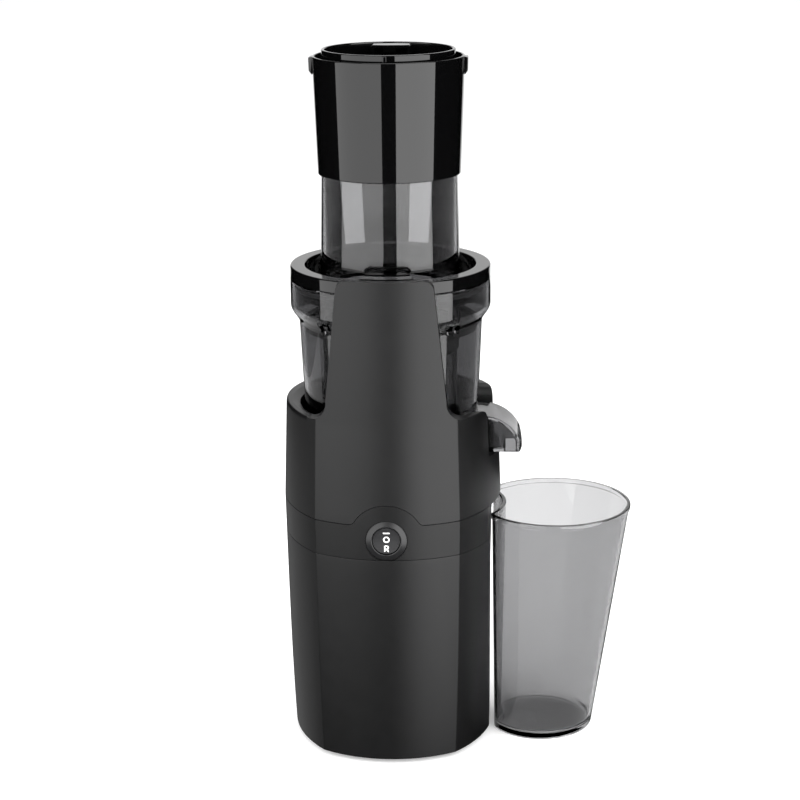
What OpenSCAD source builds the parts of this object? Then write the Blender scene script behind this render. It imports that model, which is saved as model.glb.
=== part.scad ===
// Upright cold press juicer with a wide feed tube, a lift-off bowl and a nested juice cup.
// Units are millimetres. The press axis is the Z axis and the table is at z = 0.
// The switch faces -Y, the juice spout and the cup lie on +X and the pulp outlet on +Y.

/* [Casing] */
// Gap between the table and the casing's lower edge
foot_gap = 3.2; // [2:0.2:5]
// Height of the lower casing
lower_h = 133.8; // [128:0.2:145]
// Height of the control band
band_h = 22; // [21:0.5:28]
// Height of the upper casing from its seam to its rim
upper_h = 63; // [60:1:75]
// Width of the casing beside the bowl's well, at the seam
side_land = 11.3; // [10:0.1:15]
// Depth of the tongue from the bowl's rim to its front, at the seam
tongue_depth = 7; // [6:0.1:9]
// Casing width at the table as a share of the width at the seam
foot_share_x = 0.929; // [0.92:0.001:0.97]
// Casing depth at the table as a share of the depth at the seam
foot_share_y = 0.946; // [0.93:0.001:0.97]
// Casing width at the rim as a share of the width at the seam
rim_share_x = 0.967; // [0.955:0.001:0.99]
// Casing depth at the rim as a share of the depth at the seam
rim_share_y = 0.985; // [0.975:0.001:0.995]
// How much larger the sides' bulge radius is than half the width
side_flatness = 3.6; // [2:0.1:12]
// How much larger the front's bulge radius is than half the depth
front_flatness = 5.4; // [3:0.1:14]
// Radius of the casing's four upright corners
corner_r = 9; // [6:0.5:14]
// Casing wall thickness
wall = 2.6; // [2:0.1:3.2]
// Width of the flat recess that the cup nests against
nest_w = 56; // [48:1:60]
// Depth of the cup recess
nest_depth = 6.5; // [5:0.1:7.5]

/* [Tongue] */
// Height of the front tongue above the rim
tongue_h = 88; // [80:1:95]
// Width of the tongue at its top
tongue_top_w = 58.6; // [50:0.2:62]
// Width of the tongue at its root
tongue_root_w = 74; // [68:0.5:78]
// Radius of the tongue's top corners
tongue_corner_r = 6.5; // [4:0.5:9]
// Radius where the tongue flares into the rim
tongue_flare_r = 12; // [8:0.5:14]
// Wall thickness of the tongue
tongue_wall = 2; // [1.6:0.1:2.4]
// Thickness of the tongue's inner cover
tongue_cover_t = 1.4; // [1:0.1:1.6]

/* [Switch] */
// Distance from the seam down to the switch centre
switch_drop = 9.4; // [8:0.1:11]
// Radius of the band's arch round the switch
arch_r = 22.7; // [20:0.1:25]
// Outer radius of the raised switch bezel
bezel_r = 12.5; // [12:0.1:13]
// Radius of the rocker's face
rocker_r = 8.3; // [7.5:0.1:8.6]
// Length of the switch body behind the band
switch_len = 16; // [12:0.5:18]

/* [Bowl] */
// Depth of the well that holds the bowl
well_depth = 38; // [36:1:42]
// Gap between the bowl and the well
well_gap = 0.9; // [0.6:0.1:1.4]
// Width of the juice room between the strainer and the bowl
juice_room = 8.6; // [8:0.1:10]
// How much wider the bowl is under its shoulder than at its floor
bowl_taper = 3.3; // [2:0.1:4]
// How much wider the bowl is at its rim than under its shoulder
bowl_step = 5.3; // [4.5:0.1:6]
// Height of the bowl from its seat to its rim
bowl_h = 115.7; // [112:0.1:118]
// Height of the bowl's wide upper band
bowl_band_h = 17; // [15:0.5:19]
// Height of the shoulder between the bowl's wall and upper band
shoulder_h = 11; // [9:0.5:13]
// Bowl wall thickness
bowl_wall = 2.4; // [2:0.1:2.6]
// Gap between the bowl and the deck below it
seat_gap = 0.3; // [0.2:0.05:0.5]

/* [Outlets] */
// Width of the juice spout
spout_w = 33; // [28:0.5:36]
// Reach of the juice spout beyond the casing
spout_out = 13.4; // [10:0.1:16]
// Height of both outlets at the bowl
spout_h = 23.5; // [21:0.5:26]
// Length over which the spout's roof rounds down to its tip
spout_round = 26; // [20:1:28]
// Width of the spout's mouth, measured outwards
spout_mouth_w = 9; // [6:0.5:10]
// Width of the pulp outlet
pulp_w = 30; // [26:0.5:34]
// Reach of the pulp outlet beyond the casing
pulp_out = 21; // [16:0.5:25]
// Length over which the pulp outlet's roof rounds down to its tip
pulp_round = 28; // [22:1:30]
// Width of the pulp outlet's mouth, measured outwards
pulp_mouth_w = 15; // [10:0.5:16]
// Wall thickness of both outlets
spout_wall = 2.2; // [1.8:0.1:2.6]
// Gap beside the juice spout in its casing notch
notch_gap = 10.5; // [5:0.5:11]
// Gap beside the pulp outlet in its casing notch
pulp_notch_gap = 5; // [3:0.5:8]
// Radius of the notches' upper corners
notch_corner_r = 7; // [4:0.5:8]

/* [Strainer and auger] */
// How much wider the strainer is than the feed tube's bore
strainer_step = 0.2; // [0:0.1:0.6]
// Thickness of the strainer's steel sheet
mesh_t = 0.6; // [0.4:0.1:0.8]
// Thickness of the strainer's ribs
rib_t = 1.4; // [1:0.1:2]
// Number of strainer ribs
rib_count = 12; // [8:2:16]
// Distance from the bowl's rim down to the strainer's flange
strainer_drop = 28.8; // [28.4:0.1:32]
// Gap between the auger's flights and the strainer
auger_gap = 0.8; // [0.6:0.1:1.2]
// Distance from the strainer's flange down to the top of the auger's flights
auger_drop = 9; // [6:0.5:16]
// Depth of the auger's flights at the bottom
flight_low_depth = 6.4; // [5:0.1:9]
// Depth of the auger's flights at the top
flight_top_depth = 21.4; // [18:0.1:25]
// Thickness of an auger flight at its outer edge
flight_t = 4.6; // [3.5:0.1:6]

/* [Lid and feed tube] */
// Height of the lid's visible edge
lid_edge_h = 7.6; // [7:0.1:9]
// Width of the lid's flat top ring
lid_ring_w = 9.1; // [8:0.1:10]
// Depth of the moat between the lid's ring and the feed tube
moat_h = 14.6; // [12:0.1:16]
// Lid wall thickness
lid_wall = 2.2; // [1.8:0.1:2.6]
// Bore radius of the feed tube
chute_bore_r = 40; // [38:0.5:43]
// Wall thickness of the feed tube at its foot
chute_foot_wall = 3.1; // [2.9:0.1:3.4]
// Wall thickness of the feed tube below its collar
chute_wall = 1.7; // [1.6:0.1:1.9]
// Height of the feed tube above the lid's floor
chute_h = 130.6; // [125:0.1:135]
// Height of the collar round the feed tube's top
collar_h = 71; // [65:1:80]
// Distance from the feed tube's wall to the collar's lower edge
collar_out = 2; // [1.9:0.1:2.7]
// How much the collar widens towards its upper edge
collar_flare = 2.4; // [2.2:0.1:3.3]
// Collar wall thickness at the rim
collar_wall = 1.5; // [1.2:0.1:1.6]
// Height of the collar above the feed tube's top
collar_rise = 11; // [9:0.5:13]
// Width of the key block at the front of the moat
key_w = 40; // [34:1:44]

/* [Pusher] */
// Gap between the pusher and the feed tube's bore
pusher_gap = 0.4; // [0.3:0.05:0.6]
// Depth of the pusher below its flange
pusher_depth = 56; // [50:1:60]
// How much wider the pusher's top ring is than the bore
pusher_ring_step = 0.6; // [0.2:0.1:1]
// Height of the pusher's top ring above its flange
pusher_rise = 12.7; // [11:0.1:15]
// Pusher wall thickness
pusher_wall = 2; // [1.6:0.1:2.4]
// Width of the pusher's handle
handle_w = 24; // [20:1:28]
// Distance from the axis back to the front of the pusher's handle
handle_y = 23; // [18:1:26]

/* [Cup] */
// Height of the cup
cup_h = 151; // [140:1:155]
// Radius of the cup's mouth
cup_mouth_r = 48.3; // [46:0.1:50]
// Radius of the cup's base
cup_base_r = 33.5; // [31:0.1:36]
// Distance from the cup's hollow side to the centre of its mouth
cup_mouth_out = 32.5; // [31:0.1:35]
// Distance from the cup's hollow side to the centre of its base
cup_base_out = 25; // [23:0.1:27]
// Offset of the cup's centre line to the back
cup_y = 6.7; // [0:0.1:8]
// Radius of the hollow side that faces the casing
cup_hollow_r = 42; // [38:0.5:48]
// Gap between the cup's hollow side and the recess
cup_gap = 8.2; // [7.6:0.1:10]
// Radius that rounds the hollow side's two upright edges
cup_corner_r = 8; // [5:0.5:10]
// Cup wall thickness
cup_wall = 2; // [1.6:0.1:2.6]
// Height of the bead round the cup's mouth
cup_bead_h = 3.4; // [2.5:0.1:5]

/* [Motor and gears] */
// Teeth of the motor pinion
pinion_teeth = 12; // [12:1:13]
// Teeth of the large wheel that the motor pinion drives
wheel_teeth = 63; // [60:1:64]
// Tooth module of the first gear pair
module_1 = 0.8; // [0.78:0.01:0.8]
// Teeth of the small second pinion
second_pinion_teeth = 12; // [12:1:13]
// Tooth module of the second gear pair
module_2 = 1.25; // [1.2:0.01:1.26]
// Backlash between two teeth
backlash = 0.3; // [0.24:0.02:0.4]
// Radius of the stator stack
stator_r = 46; // [44:0.5:48]
// Height of the stator stack
stator_h = 44; // [38:1:46]
// Radius of the rotor core
rotor_r = 27; // [24:0.5:28]
// Radius of the motor shaft
motor_shaft_r = 4; // [3.5:0.1:4.5]
// Radius of the motor shaft where it carries the pinion
pinion_seat_r = 2.5; // [2:0.1:2.6]
// Radius of the drive shaft
drive_shaft_r = 7; // [6.5:0.1:7.5]
// Width across flats of the drive shaft's hexagon
hex_af = 12; // [10:0.2:12.5]
// Height of the gearbox
gearbox_h = 42; // [41:0.5:44]
// Running clearance of shafts in their bearings
run_gap = 0.05; // [0.03:0.01:0.08]
// Radius of the mains lead's hole in its gland
gland_bore_r = 3.6; // [3:0.1:4]

/* [Hidden] */
$fn = 96;
eps = 0.01;
cut = 1;
fit_gap = 0.2;

// Radii from the feed tube outwards
chute_foot_r = chute_bore_r + chute_foot_wall;
chute_r = chute_bore_r + chute_wall;
collar_low_r = chute_r + collar_out;
collar_top_r = collar_low_r + collar_flare;
pusher_ring_r = chute_bore_r + pusher_ring_step;
strainer_r = chute_bore_r + strainer_step;
mesh_r = strainer_r + mesh_t;
rib_r = mesh_r + fit_gap;
bowl_floor_r = rib_r + rib_t + juice_room + bowl_wall;
bowl_neck_r = bowl_floor_r + bowl_taper;
bowl_rim_r = bowl_neck_r + bowl_step;
well_r = bowl_neck_r + well_gap;
tongue_in_r = bowl_rim_r + 0.6;
half_w = well_r + side_land;
half_d = bowl_rim_r + tongue_depth;
side_bulge_r = half_w + side_flatness;
front_bulge_r = half_d + front_flatness;
nest_x = half_w - nest_depth;
spout_reach = half_w + spout_out;
pulp_reach = half_d + pulp_out;
notch_w = spout_w + 2 * notch_gap;
pulp_notch_w = pulp_w + 2 * pulp_notch_gap;
cup_hollow_x = nest_x + cup_gap;
cup_mouth_x = cup_hollow_x + cup_mouth_out;
cup_base_x = cup_hollow_x + cup_base_out;

// Heights from the table up
band_z = foot_gap + lower_h;
seam_z = band_z + band_h;
rim_z = seam_z + upper_h;
tongue_z = rim_z + tongue_h;
deck_z = rim_z - well_depth;
switch_z = seam_z - switch_drop;
bowl_z = deck_z + seat_gap;
bowl_top_z = bowl_z + bowl_h;
bowl_floor_z = bowl_z + 2.7;
bowl_floor_t = 2.5;
bowl_inside_z = bowl_floor_z + bowl_floor_t;
lid_low_z = bowl_top_z + 0.4;
lid_top_z = lid_low_z + lid_edge_h;
lid_floor_z = lid_top_z - moat_h;
chute_z = lid_floor_z + fit_gap;
chute_top_z = chute_z + chute_h;
collar_top_z = chute_top_z + collar_rise;
collar_z = collar_top_z - collar_h;
pusher_seat_z = chute_top_z + seat_gap;
pusher_flange_t = 2;
pusher_top_z = pusher_seat_z + pusher_flange_t + pusher_rise;

// Casing outline
edge_round = 2;
arc_steps = 7;
corner_steps = 5;
front_y = half_d * rim_share_y;
deck_t = 4;
deck_gap = 0.2;
deck_r = well_r + wall - 0.4;
boss_ring_r = well_r + 4.4;
boss_r = 4;
rim_t = 3;
dish_depth = 2.2;
dish_out_r = well_r + 5.6;

// Bowl rim and strainer
bowl_in_top_r = bowl_rim_r - bowl_wall;
bowl_in_neck_r = bowl_neck_r - bowl_wall;
shoulder_z = bowl_top_z - bowl_band_h - shoulder_h;
band_in_z = bowl_top_z - bowl_band_h;
hub_r = 12.4;
hub_wall = 3;
hub_h = 9.5;
strainer_z = bowl_inside_z + fit_gap;
strainer_flange_z = bowl_top_z - strainer_drop;
strainer_h = strainer_flange_z - strainer_z;
strainer_floor_t = 4;
outlet_floor_z = deck_z + 7;
outlet_in_z = outlet_floor_z + spout_wall;
notch_z = outlet_floor_z - 0.6;
pulp_port_h = 13;
notch_root_x = well_r - 18;
notch_jamb = wall;
spout_shift = -0.5;

// Lid
lid_in_r = bowl_rim_r - lid_ring_w;
skirt_r = bowl_in_top_r - 0.5;
key_in_r = chute_foot_r + 2.2;
key_mid_r = (key_in_r + lid_in_r) / 2;
magnet_r = 3;
magnet_h = 7;
gasket_h = 3;
gasket_z = lid_floor_z + 1;

// Auger
auger_z = strainer_z + strainer_floor_t + 0.5;
auger_h = strainer_flange_z - auger_drop - auger_z;
auger_r = strainer_r - auger_gap;
auger_root_r = auger_r - flight_low_depth;
auger_top_r = auger_r - flight_top_depth;
spigot_r = 10.5;
spigot_z = bowl_floor_z + 1;
hub_top_z = bowl_floor_z + bowl_floor_t + hub_h;
hex_gap = 0.25;
hex_r = hex_af / 2 / cos(30);
hex_socket_r = (hex_af / 2 + hex_gap) / cos(30);
hex_top_z = deck_z + 30;
flight_turns = 1.6;

// Motor and gears, from the deck down
wheel_face = 6;
axle_dist = module_1 * (pinion_teeth + wheel_teeth) / 2;
output_teeth = floor(2 * axle_dist / module_2) - second_pinion_teeth;
axle_r = 3;
post_h = 30;
gearbox_top_z = deck_z - deck_t - post_h;
gearbox_z = gearbox_top_z - gearbox_h;
gearbox_wall = 2.5;
gearbox_top_t = 12;
gearbox_r = 46;
wheel_tip_r = module_1 * (wheel_teeth / 2 + 1);
wheel_room_r = wheel_tip_r + 1;
plate_t = 4;
winding_room = 12;
stator_top_z = gearbox_z - plate_t - winding_room;
stator_z = stator_top_z - stator_h;
bracket_z = stator_z - winding_room - plate_t;
bearing_h = 7;
bearing_r = 11;
shaft_bearing_r = 14;
shaft_bearing_h = 9;
pinion_z = gearbox_z + 1.5;
pinion_h = 9;
wheel_z = pinion_z + 1.5;
second_z = wheel_z + wheel_face;
second_h = 13.5;
output_z = pinion_z + pinion_h + 1.5;
output_h = 10.5;
bolt_r = 2;
bolt_ring_r = 41;
fan_r = 36;
fan_h = 11;
fan_z = bracket_z - 3.5 - fan_h;
pressure_angle = 20;
// The driven wheels have short teeth, so that the small pinions aren't undercut
short_tip = 0.72;
long_tip = 0.95;
axle_angle = 90;

// Base
base_t = 3.5;
base_z = foot_gap;
foot_r = half_w - 17.9;
foot_w = 8;
foot_seat = 1.5;
screw_r = 1.6;
head_r = 3;
head_h = 2;
base_boss_ring_r = half_w - 12.9;
base_boss_h = 20;
gland_z = 32;
gland_r = 7;

// Switch
pivot_drop = 2.4;
switch_front_y = -half_d + 1.2;
bezel_t = 1.6;
bezel_rim_t = 0.3;
bezel_edge = 0.15;
bezel_rise = 1.05;
rocker_ball_r = sqrt(rocker_r * rocker_r + pivot_drop * pivot_drop);
rocker_bore_r = rocker_ball_r + 0.15;
bezel_crest_r = rocker_bore_r + 0.7;
switch_body_r = rocker_bore_r + 1.6;
pivot_y = switch_front_y + pivot_drop;

// Cup
cup_floor_t = 3;
cup_bead_out = 1;
cup_steps = 28;
cup_small_steps = 5;

// The meeting point of two circles, on the side that sign chooses
function meet(c1, r1, c2, r2, sign) =
    let (d = norm(c2 - c1), a = (r1 * r1 - r2 * r2 + d * d) / (2 * d), u = (c2 - c1) / d)
    c1 + a * u + sign * sqrt(max(0, r1 * r1 - a * a)) * [-u.y, u.x];

function angle_of(p) = atan2(p.y, p.x);

function arc(c, r, a0, a1, steps) =
    [for (i = [0:steps]) c + r * [cos(a0 + (a1 - a0) * i / steps), sin(a0 + (a1 - a0) * i / steps)]];

function mirrored_back(points) = [for (i = [len(points) - 1:-1:0]) [-points[i].x, points[i].y]];
function mirrored_down(points) = [for (i = [len(points) - 1:-1:0]) [points[i].x, -points[i].y]];
function without_ends(points) = [for (i = [1:len(points) - 2]) points[i]];

// A quarter of the casing's plan at the seam: side bulge, rounded corner, back bulge
function plan_quarter(inset) =
    let (
        side_c = [half_w - side_bulge_r, 0],
        back_c = [0, half_d - front_bulge_r],
        small_r = max(corner_r - inset, 1),
        side_r = side_bulge_r - inset,
        back_r = front_bulge_r - inset,
        c = meet(side_c, side_r - small_r, back_c, back_r - small_r, 1),
        a1 = angle_of(c - side_c),
        a2 = angle_of(c - back_c)
    )
    concat(
        arc(side_c, side_r, 0, a1, arc_steps),
        without_ends(arc(c, small_r, a1, a2, corner_steps)),
        arc(back_c, back_r, a2, 90, arc_steps)
    );

function plan(inset) =
    let (q = plan_quarter(inset), half = concat(q, without_ends(mirrored_back(q)), [[-q[0].x, 0]]))
    concat(half, without_ends(mirrored_down(half)));

// Shares of the seam's width and depth at a height
function share(z, low, high) =
    z < seam_z ? 1 - (1 - low) * (seam_z - z) / (seam_z - foot_gap)
    : 1 - (1 - high) * min(1, (z - seam_z) / upper_h);

function section(z, inset) =
    [for (p = plan(inset)) [
        p.x * share(z, foot_share_x, rim_share_x),
        p.y * share(z, foot_share_y, rim_share_y),
        z
    ]];

function casing_sections(z0, z1, inset) =
    let (zs = concat([z0], [for (z = [seam_z, rim_z]) if (z > z0 + eps && z < z1 - eps) z], [z1]))
    [for (z = zs) section(z, inset)];

// A closed solid through rings of points, each ring seen from its middle
module loft(rings) {
    n = len(rings[0]);
    last = len(rings) - 1;
    low = [for (k = [0:2]) [for (p = rings[0]) p[k]] * [for (p = rings[0]) 1] / n];
    high = [for (k = [0:2]) [for (p = rings[last]) p[k]] * [for (p = rings[last]) 1] / n];
    points = concat([for (r = rings) each r], [low, high]);
    sides = [for (j = [0:last - 1], i = [0:n - 1], t = [0, 1])
        let (a = j * n + i, b = j * n + (i + 1) % n)
        t == 0 ? [a, a + n, b] : [b, a + n, b + n]];
    caps = concat(
        [for (i = [0:n - 1]) [n * (last + 1), i, (i + 1) % n]],
        [for (i = [0:n - 1]) [n * (last + 1) + 1, last * n + (i + 1) % n, last * n + i]]
    );
    polyhedron(points, concat(sides, caps));
}

module casing_solid(z0, z1, inset) {
    loft(casing_sections(z0, z1, inset));
}

module tube(r_out, r_in, z, h) {
    translate([0, 0, z])
        difference() {
            cylinder(r = r_out, h = h);
            translate([0, 0, -cut]) cylinder(r = r_in, h = h + 2 * cut);
        }
}

module disc(r, z, h) {
    translate([0, 0, z]) cylinder(r = r, h = h);
}

module ring_of(count, r, first = 45) {
    for (i = [0:count - 1])
        rotate(first + i * 360 / count) translate([r, 0, 0]) children();
}

// The recess under the spout that the cup nests against
module nest(grow) {
    translate([nest_x - grow, -nest_w / 2 - grow, -cut])
        cube([40, nest_w + 2 * grow, seam_z + cut]);
}

// A drilled upright screw with its head below
module screw(r, head, z, length) {
    translate([0, 0, z]) cylinder(r = head, h = head_h);
    translate([0, 0, z]) cylinder(r = r, h = length);
}

module lower_casing() {
    color([0.20, 0.20, 0.21]) {
        difference() {
            union() {
                loft([
                    section(foot_gap, edge_round),
                    section(foot_gap + 0.6, edge_round * 0.3),
                    section(foot_gap + edge_round, 0),
                    section(band_z, 0)
                ]);
            }
            difference() {
                casing_solid(-cut, band_z + cut, wall);
                nest(wall);
            }
            nest(0);
            for (z = [gland_z - 14:7:gland_z + 28])
                for (x = [-30, 30])
                    translate([x, 0, z]) rear_slot();
            translate([0, 0, gland_z]) rotate([-90, 0, 0])
                cylinder(r = gland_r - 1.5 + fit_gap, h = 100);
        }
        intersection() {
            casing_solid(foot_gap, band_z, wall / 2);
            ring_of(4, base_boss_ring_r)
                difference() {
                    union() {
                        translate([0, 0, base_z + base_t + fit_gap]) cylinder(r = boss_r, h = base_boss_h);
                        translate([2, -1.2, base_z + base_t + fit_gap]) cube([12, 2.4, base_boss_h]);
                    }
                    translate([0, 0, base_z]) cylinder(r = screw_r + 0.1, h = base_boss_h);
                }
        }
    }
}

// A louvre slot in the rear of the casing
module rear_slot() {
    slot_w = 22;
    translate([-slot_w / 2, 40, -1]) cube([slot_w, 60, 2]);
}

module arch(grow) {
    translate([0, 0, switch_z]) rotate([90, 0, 0]) cylinder(r = arch_r + grow, h = 2 * half_d);
}

module control_band() {
    lip = 1.8;
    lip_h = 4;
    grip = 0.3;
    top_z = switch_z + arch_r + cut;
    color([0.17, 0.17, 0.18])
        difference() {
            union() {
                difference() {
                    casing_solid(band_z, top_z, 0);
                    difference() {
                        casing_solid(band_z - cut, top_z + cut, wall);
                        nest(wall);
                    }
                    difference() {
                        disc(2 * half_w, seam_z, upper_h);
                        arch(0);
                    }
                }
                difference() {
                    loft([
                        section(band_z - lip_h, wall + fit_gap),
                        section(band_z + 1, wall + fit_gap),
                        section(band_z + 2, wall - grip),
                        section(seam_z - 2, wall - grip),
                        section(seam_z - 1, wall + fit_gap),
                        section(seam_z + lip_h, wall + fit_gap)
                    ]);
                    casing_solid(band_z - lip_h - cut, seam_z + lip_h + cut, wall + lip);
                    translate([nest_x - wall - fit_gap, -nest_w / 2 - wall - fit_gap, band_z - 10])
                        cube([40, nest_w + 2 * (wall + fit_gap), band_h + 20]);
                }
            }
            nest(0);
            translate([0, switch_front_y, switch_z]) rotate([90, 0, 0]) {
                translate([0, 0, -20]) cylinder(r = switch_body_r + fit_gap, h = 40);
                translate([0, 0, -bezel_edge - bezel_rim_t - fit_gap / 2])
                    cylinder(r = bezel_r + 2.5 * fit_gap, h = 20);
            }
        }
}

// Front view of the tongue, with its flared root
module tongue_shape(inset) {
    top_half = tongue_top_w / 2 - inset;
    root_half = tongue_root_w / 2 - inset;
    root_z = rim_z - cut;
    top_z = tongue_z - inset;
    r = tongue_corner_r;
    polygon(concat(
        [[root_half, root_z]],
        arc([top_half - r, top_z - r], r, 0, 90, 8),
        mirrored_back(arc([top_half - r, top_z - r], r, 0, 90, 8)),
        [[-root_half, root_z]]
    ));
}

module tongue_flare() {
    r = tongue_flare_r;
    slope = (tongue_root_w - tongue_top_w) / 2 / tongue_h;
    for (side = [-1, 1])
        scale([side, 1])
            translate([tongue_root_w / 2 - r * slope, rim_z])
                difference() {
                    translate([-1, -cut]) square([r + 1, r + cut]);
                    translate([r, r]) circle(r = r);
                }
}

module front_prism() {
    translate([0, -half_d - 20, 0]) rotate([90, 0, 0]) mirror([0, 0, 1])
        linear_extrude(height = half_d - 10) children();
}

// Side profile of a notch, open at the rim, with rounded upper corners
module notch_shape(width, grow) {
    r = notch_corner_r;
    translate([-width / 2 - grow, notch_z - grow]) square([width + 2 * grow, upper_h]);
    if (grow == 0)
        for (side = [-1, 1])
            scale([side, 1])
                translate([width / 2, rim_z - r])
                    difference() {
                        translate([-1, 0]) square([r + 1, r + cut]);
                        translate([r, 0]) circle(r = r);
                    }
}

module notches(grow) {
    rotate([90, 0, 90]) translate([0, 0, notch_root_x])
        linear_extrude(height = half_w) notch_shape(notch_w, grow);
    rotate([90, 0, 180]) translate([0, 0, notch_root_x])
        linear_extrude(height = half_d) notch_shape(pulp_notch_w, grow);
}

module upper_casing() {
    ledge_t = wall;
    color([0.20, 0.20, 0.21])
        difference() {
            union() {
                loft([
                    section(seam_z + fit_gap / 2, 0),
                    section(rim_z - edge_round, 0),
                    section(rim_z - 0.5, 0.5),
                    section(rim_z, edge_round * 0.8)
                ]);
                intersection() {
                    casing_solid(rim_z - 2 * edge_round, tongue_z, 0);
                    front_prism() {
                        tongue_shape(0);
                        tongue_flare();
                    }
                }
            }
            difference() {
                casing_solid(seam_z - cut, rim_z - rim_t, wall);
                disc(well_r + wall, deck_z, well_depth);
                notches(notch_jamb);
                ring_of(4, boss_ring_r) translate([0, 0, deck_z]) cylinder(r = boss_r, h = 16);
                intersection() {
                    nest(wall);
                    translate([0, 0, seam_z - 2 * cut])
                        cube([200, 200, 2 * (ledge_t + 2 * cut)], center = true);
                }
                translate([nest_x - wall, -nest_w / 2 - wall, seam_z])
                    cube([40, nest_w + 2 * wall, ledge_t]);
            }
            disc(well_r, deck_z - cut, well_depth + 2 * cut);
            disc(tongue_in_r, rim_z, tongue_h + cut);
            translate([0, 0, rim_z - dish_depth])
                cylinder(r1 = well_r - eps, r2 = dish_out_r, h = dish_depth + eps);
            notches(0);
            arch(fit_gap / 2);
            ring_of(4, boss_ring_r) translate([0, 0, deck_z - cut])
                cylinder(r = screw_r + 0.1, h = 14);
            intersection() {
                casing_solid(rim_z + wall, tongue_z - tongue_wall, tongue_wall);
                front_prism() tongue_shape(tongue_wall);
                tube(200, tongue_in_r - cut, rim_z + wall, tongue_h);
            }
        }
}

module tongue_cover() {
    color([0.08, 0.08, 0.09])
        intersection() {
            tube(tongue_in_r + tongue_cover_t, tongue_in_r, rim_z + wall + fit_gap,
                tongue_h - wall - tongue_wall - 2 * fit_gap);
            front_prism() tongue_shape(tongue_wall + fit_gap);
        }
}

module reed_sensor() {
    depth = front_y - tongue_wall - tongue_in_r - tongue_cover_t;
    body_t = depth - 3.5 * fit_gap;
    body_w = 10;
    body_h = 14;
    color([0.75, 0.75, 0.72])
        translate([-body_w / 2, -front_y + tongue_wall + 2 * fit_gap, lid_floor_z - 3])
            cube([body_w, body_t, body_h]);
}

module base_plate() {
    color([0.14, 0.14, 0.15])
        difference() {
            loft([
                section(base_z, wall + fit_gap),
                section(base_z + base_t, wall + fit_gap)
            ]);
            nest(wall + fit_gap);
            tube(foot_r + fit_gap, foot_r - foot_w - fit_gap, base_z - cut, foot_seat + cut);
            ring_of(4, base_boss_ring_r) {
                translate([0, 0, base_z - cut]) cylinder(r = screw_r + 0.2, h = base_t + 2 * cut);
                translate([0, 0, base_z - cut]) cylinder(r = head_r + 0.2, h = head_h + fit_gap + cut);
            }
            for (i = [-3:3])
                translate([-22, i * 9 - 1.5, base_z - cut]) cube([44, 3, base_t + 2 * cut]);
        }
}

module foot_ring() {
    color([0.07, 0.07, 0.07])
        tube(foot_r, foot_r - foot_w, 0, foot_gap + foot_seat - fit_gap);
}

module base_screws() {
    color([0.7, 0.7, 0.72])
        ring_of(4, base_boss_ring_r) screw(screw_r, head_r, base_z + fit_gap, base_boss_h - 4);
}

// Strain-relief sleeve in the rear wall, where the mains lead enters
module cable_gland() {
    out_y = half_d * share(gland_z, foot_share_y, 1);
    color([0.08, 0.08, 0.08])
        translate([0, 0, gland_z]) rotate([-90, 0, 0])
            difference() {
                union() {
                    translate([0, 0, out_y - wall - 4]) cylinder(r = gland_r - 1.5, h = wall + 8);
                    translate([0, 0, out_y + 0.3]) cylinder(r = gland_r, h = 2.6);
                    translate([0, 0, out_y + 2.8]) cylinder(r1 = gland_r - 0.6, r2 = gland_r - 2, h = 6);
                    translate([0, 0, out_y - wall - 4]) cylinder(r = gland_r, h = 2.6);
                }
                translate([0, 0, out_y - wall - 10]) cylinder(r = gland_bore_r, h = 40);
            }
}

module bowl_deck() {
    collar_h = 2;
    seat_boss_h = 12;
    color([0.10, 0.10, 0.11])
        difference() {
            union() {
                disc(deck_r, deck_z - deck_t, deck_t - deck_gap);
                ring_of(4, boss_ring_r) disc(boss_r, deck_z - deck_t, deck_t - deck_gap);
                disc(well_r - 0.5, deck_z - deck_t, deck_t);
                tube(spigot_r + 1.5, spigot_r - 1, deck_z - eps, collar_h);
                disc(shaft_bearing_r + 3, deck_z - deck_t - seat_boss_h, seat_boss_h + 1);
                ring_of(4, bolt_ring_r) disc(boss_r, gearbox_top_z + eps, post_h + 1);
            }
            disc(shaft_bearing_r + 0.02, deck_z - deck_t - seat_boss_h - cut, shaft_bearing_h + cut);
            disc(drive_shaft_r + 3, deck_z - deck_t - seat_boss_h, seat_boss_h + deck_t + cut);
            ring_of(4, bolt_ring_r) disc(screw_r + 0.1, gearbox_top_z - cut, post_h - 6);
            ring_of(4, boss_ring_r) disc(screw_r + 0.2, deck_z - deck_t - cut, deck_t + 2 * cut);
        }
}

module deck_screws() {
    color([0.7, 0.7, 0.72])
        ring_of(4, boss_ring_r) screw(screw_r, head_r, deck_z - deck_t - head_h - fit_gap, 16);
}

module shaft_seal() {
    seal_h = 4;
    color([0.30, 0.18, 0.14])
        tube(drive_shaft_r + 3 - 0.02, drive_shaft_r + run_gap, deck_z - seal_h, seal_h);
}

// Plan of the gearbox: a round body and a bay for the large wheel
module gearbox_plan(grow) {
    circle(r = gearbox_r + grow);
    translate([0, axle_dist]) circle(r = wheel_room_r + gearbox_wall + grow);
}

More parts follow.
